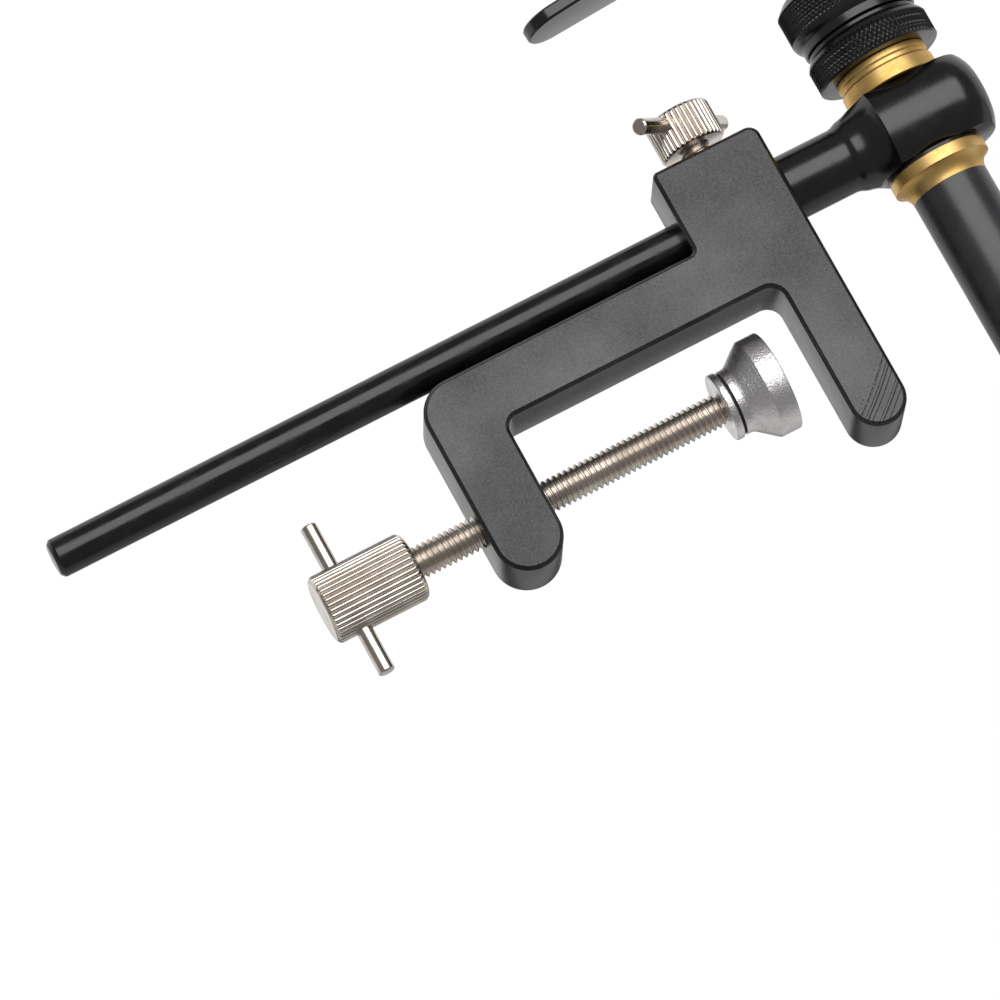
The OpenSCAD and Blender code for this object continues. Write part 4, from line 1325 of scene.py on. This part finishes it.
@dataclass
class HookJaws:
    """The two jaws and the coned sleeve that shuts them."""

    split: float = 0.1
    start: float = 36.65
    neck_r: float = 4.2
    cone: Pair = (64.35, 76.85)
    cone_r: float = 6.18
    bend: Triple = (88.0, 3.75, 2.0)  # station, radius and rounding where the nose thins
    tip: float = 97.85
    tip_r: float = 1.5
    tail: float = 31.0
    tail_in: float = 0.75  # tail inside the jaw
    tail_half: Pair = (1.45, 1.99)  # half of its width and height
    tail_y: float = 1.8
    tail_r: float = 1.3
    room: Triple = (30, 110, 12)  # stations and reach of the tool that halves a jaw
    sleeve: Corners = ((55.15, 5.2), (55.15, 7.0), (62.35, 7.0), (62.35, 9.5, 0.3),
                       (64.5, 9.45, 0.8), (75.9, 7.65, 0.3), (76.35, 7.2, 0.2),
                       (76.35, 6.22, 0.1), (66.35, 4.637), (66.35, 5.2))

    def jaw(self, name: str, side: int) -> Piece:
        """One jaw: a turned pencil cut at its middle plane, with its flat tail.

        Args:
            name: the piece's name.
            side: 1 for the far jaw, -1 for the near one.

        Returns:
            The jaw.
        """
        (rise, crest), (rear, front, reach) = self.cone, self.room
        profile = rounded([
            (self.start, 0), (self.start, self.neck_r, 0.3), (rise, self.neck_r, 1.0),
            (crest, self.cone_r, 0.4), (crest + 1, self.cone_r, 0.8), self.bend,
            (self.tip - 0.6, self.tip_r + 0.1, 0.5), (self.tip, self.tip_r - 0.5, 0.3),
            (self.tip, 0)])
        obj = lathe(name, Line.HEAD.value, profile, 128)
        low, high = sorted((side * self.split, side * reach))
        combine(obj, [block((STEM_X + rear, low, HEAD_Z - reach),
                            (STEM_X + front, high, HEAD_Z + reach))], Operation.SHARE)
        soften(obj, 0.12, 45)
        near, far = (side * self.tail_y + way * self.tail_half[0] for way in (-1, 1))
        end = self.start + self.tail_in
        outline = rounded_outline([(self.tail, near, self.tail_r), (end, near, 0), (end, far, 0),
                                   (self.tail, far, self.tail_r)], 10)
        plane = Plane((STEM_X, 0, HEAD_Z), (1, 0, 0), (0, 1, 0), (0, 0, 1))
        return joined(name, [obj, plate("tail", outline, self.tail_half[1], 0.1, plane, 0.03)])

    def build(self) -> None:
        """Makes both jaws and the sleeve."""
        for name, side in (("near", -1), ("far", 1)):
            fit(self.jaw(f"jaw_{name}_ground", side), TOOL_STEEL, name + "_jaw",
                "jaw_" + name)
        Turned("closing_sleeve_turned", "closing_sleeve", TOOL_STEEL, "rotor", "jaw_steel",
               self.sleeve, soft=0.1).build()


@dataclass
class Spring:
    """A coil spring of the head, with closed ends."""

    name: str  # of its CAD node
    axis: Axis
    start: float  # its lowest station
    length: float
    radius: float  # outer radius
    wire: float  # radius of the wire
    turns: int

    def build(self) -> None:
        """Makes the coil: a small circle of the wire's radius carried along a helix."""
        rows, columns = self.turns * 40 + 1, 12
        t = np.linspace(0, 1, rows)[:, None]
        s = np.arange(columns)[None, :] * (2 * math.pi / columns)
        rise = self.length - 2 * self.wire
        station = self.start + self.wire + rise * t + self.wire * np.sin(s)
        radius = self.radius - self.wire + self.wire * np.cos(s)
        points = self.axis.place(station, radius, 2 * math.pi * self.turns * t)
        obj = build_mesh(self.name + "_coil", points, capped(rows, columns))
        fit(obj, SPRING_WIRE, "puller", self.name)


RETURN_SPRING = Spring("return_spring", Line.HEAD.value, -46.9, 18, 4.6, 0.45, 12)
JAW_SPRING = Spring("jaw_spring", Axis((STEM_X + 48.35, 0, HEAD_Z), (0, 1, 0), (1, 0, 0)), -1.8,
                    3.6, 1.4, 0.25, 4)

# CAD nodes whose shape stays and that only get their finish
HIDDEN = {"lock_tip": NYLON, "pad_ball": TOOL_STEEL, "stem_set_screw": BLACK_OXIDE,
          "knob_set_screw": BLACK_OXIDE, "front_bush": BRONZE, "rear_bush": BRONZE,
          "drag_washer": SLIP_PLASTIC, "drawbar": TOOL_STEEL, "drawbar_eye": TOOL_STEEL,
          "spring_seat": TOOL_STEEL, "jaw_carrier": TOOL_STEEL, "jaw_pins": TOOL_STEEL}


# Stage


@dataclass
class Studio:
    """Camera, lamp and the pale ground behind the lying vise, as the photograph has them."""

    camera_at: Triple = (408.087, -1678.336, -326.587)
    right: Triple = (0.47069811, -0.01391391, 0.88218462)
    down: Triple = (0.85005121, 0.27498733, -0.44921589)
    ahead: Triple = (-0.23633924, 0.96134716, 0.14126356)
    focal_px: float = 7600.68
    image_px: float = 1000.0
    sensor: float = 36.0
    clip: Pair = (0.05, 50)  # metres
    ground_y: float = 120.0
    ground_far: float = 4000.0
    white: float = 1.04  # the ground's own light to the camera
    shown: float = 0.94  # share of that light; the rest is paper, which takes shadows
    # the ground's glow to glossy rays is a painted shadow of the vise: dim behind the throat, paler
    # again past the arms
    throat: Pair = (-12, 10)  # X where reflections dim
    painted_shadow_glow: Pair = (0.85, 0.10)
    arms: Pair = (20, 42)  # X where they rise again
    past_shadow_glow: Pair = (0.0, 0.45)
    paper: float = 0.95
    world_light: float = 0.22
    lamp_turn: Pair = (-15.0, 12.0)  # azimuth from -Y towards +X, and elevation
    lamp_size: Pair = (1.25, 1.9)  # metres
    lamp_white: float = 2.6  # its brightness, where 1 is white
    lamp_far: float = 1.5  # metres
    lamp_aim: Triple = (-0.02, 0, -0.04)  # metres

    def camera(self) -> None:
        """Sets the camera where the photograph's was."""
        data = bpy.data.cameras.new("camera")
        data.sensor_width, data.lens = self.sensor, self.focal_px * self.sensor / self.image_px
        data.clip_start, data.clip_end = self.clip
        obj = bpy.data.objects.new("camera", data)
        rows = [self.right, [-v for v in self.down], [-v for v in self.ahead]]
        turn = Matrix(rows).transposed().to_4x4()
        obj.matrix_world = Matrix.Translation(Vector(self.camera_at) * MM) @ turn
        bpy.context.scene.collection.objects.link(obj)
        bpy.context.scene.camera = obj

    def lamp(self) -> None:
        """A soft box that faces the vise; its power is brightness * pi * area."""
        wide, high = self.lamp_size
        data = bpy.data.lights.new("soft box", "AREA")
        data.shape, data.size, data.size_y = "RECTANGLE", wide, high
        data.energy = self.lamp_white * math.pi * wide * high
        obj = bpy.data.objects.new("soft box", data)
        a, e = (math.radians(v) for v in self.lamp_turn)
        back = Vector((math.sin(a) * math.cos(e), -math.cos(a) * math.cos(e), math.sin(e)))
        obj.location = Vector(self.lamp_aim) + back * self.lamp_far
        obj.rotation_mode = "QUATERNION"
        obj.rotation_quaternion = back.to_track_quat("Z", "Y")
        bpy.context.scene.collection.objects.link(obj)

    def ground(self) -> None:
        """The pale ground: white to the camera, yet it keeps a soft shadow, and shows a painted
        shadow in reflections.

        Reflections find it bright beyond the stem, dim behind the throat and paler again past the
        arms, as the photograph's do. Its rear side is clear, so that the vise can be seen from
        behind.
        """
        y, far = self.ground_y, self.ground_far
        points = np.array([(-far, y, -far), (far, y, -far), (far, y, far), (-far, y, far)])
        obj = build_mesh("ground", points, [np.array([[0, 1, 2, 3]])])
        if obj.data.polygons[0].normal.y > 0:
            obj.data.flip_normals()
        made = bpy.data.materials.new("pale ground")
        tree = fresh(made)
        rays = add(tree, "LightPath").outputs
        place = add(tree, "SeparateXYZ", {0: add(tree, "TexCoord").outputs["Object"]})
        # painted shadow: the glow that reflections see dims behind the throat and rises again past
        # the arms
        fade, rise = (
            add(tree, "MapRange", {"Value": place, "From Min": band[0] * MM,
                                   "From Max": band[1] * MM, "To Min": glow[0],
                                   "To Max": glow[1]}, interpolation_type="SMOOTHSTEP")
            for band, glow in ((self.throat, self.painted_shadow_glow), (self.arms, self.past_shadow_glow)))
        both = add(tree, "Math", {0: fade, 1: rise}, operation="ADD")
        own = add(tree, "MapRange", {"Value": rays["Is Camera Ray"], "To Min": both,
                                     "To Max": self.white})
        seen = add(tree, "Math", {0: rays["Is Camera Ray"], 1: rays["Is Glossy Ray"]},
                   operation="MAXIMUM")
        share = add(tree, "Math", {0: seen, 1: self.shown}, operation="MULTIPLY")
        paper = add(tree, "BsdfDiffuse", {"Color": (self.paper, self.paper, self.paper, 1)})
        light = add(tree, "Emission", {"Color": (1, 1, 1, 1), "Strength": own})
        mixed = add(tree, "MixShader", {0: share, 1: paper, 2: light})
        back = add(tree, "NewGeometry").outputs["Backfacing"]
        sided = add(tree, "MixShader", {0: back, 1: mixed, 2: add(tree, "BsdfTransparent")})
        add(tree, "OutputMaterial", {"Surface": sided})
        obj.data.materials.append(made)

    def world(self) -> None:
        """A world that the camera sees as white and that lights the vise softly."""
        bpy.context.scene.world = bpy.data.worlds.new("studio")
        tree = fresh(bpy.context.scene.world)
        rays = add(tree, "LightPath").outputs
        soft, white = (add(tree, "Background", {"Color": (1, 1, 1, 1), "Strength": strength})
                       for strength in (self.world_light, 1.0))
        mixed = add(tree, "MixShader", {0: rays["Is Camera Ray"], 1: soft, 2: white})
        add(tree, "OutputWorld", {"Surface": mixed})

    def build(self) -> None:
        """Sets camera, ground, world, lamp and the plain view."""
        self.camera()
        self.ground()
        self.world()
        self.lamp()
        bpy.context.scene.view_settings.view_transform = "Standard"


def main() -> None:
    """Builds the vise's looks sub-assembly by sub-assembly and reports each piece."""
    logging.basicConfig(level=logging.INFO, format="%(message)s")
    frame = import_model()
    for part in (Studio(), Clamp(), ClampScrew(), PressurePad(), StemLock(), Stem(), Head(),
                 Rotor(), DragRing(), Adjuster(), CamLever(), HookJaws(), RETURN_SPRING,
                 JAW_SPRING):
        part.build()
    for node, finish in HIDDEN.items():
        wear(frame["nodes"][node], finish)
        LOG.info("%s keeps its solid, in %s", node, finish.name)


if __name__ == "__main__":
    main()
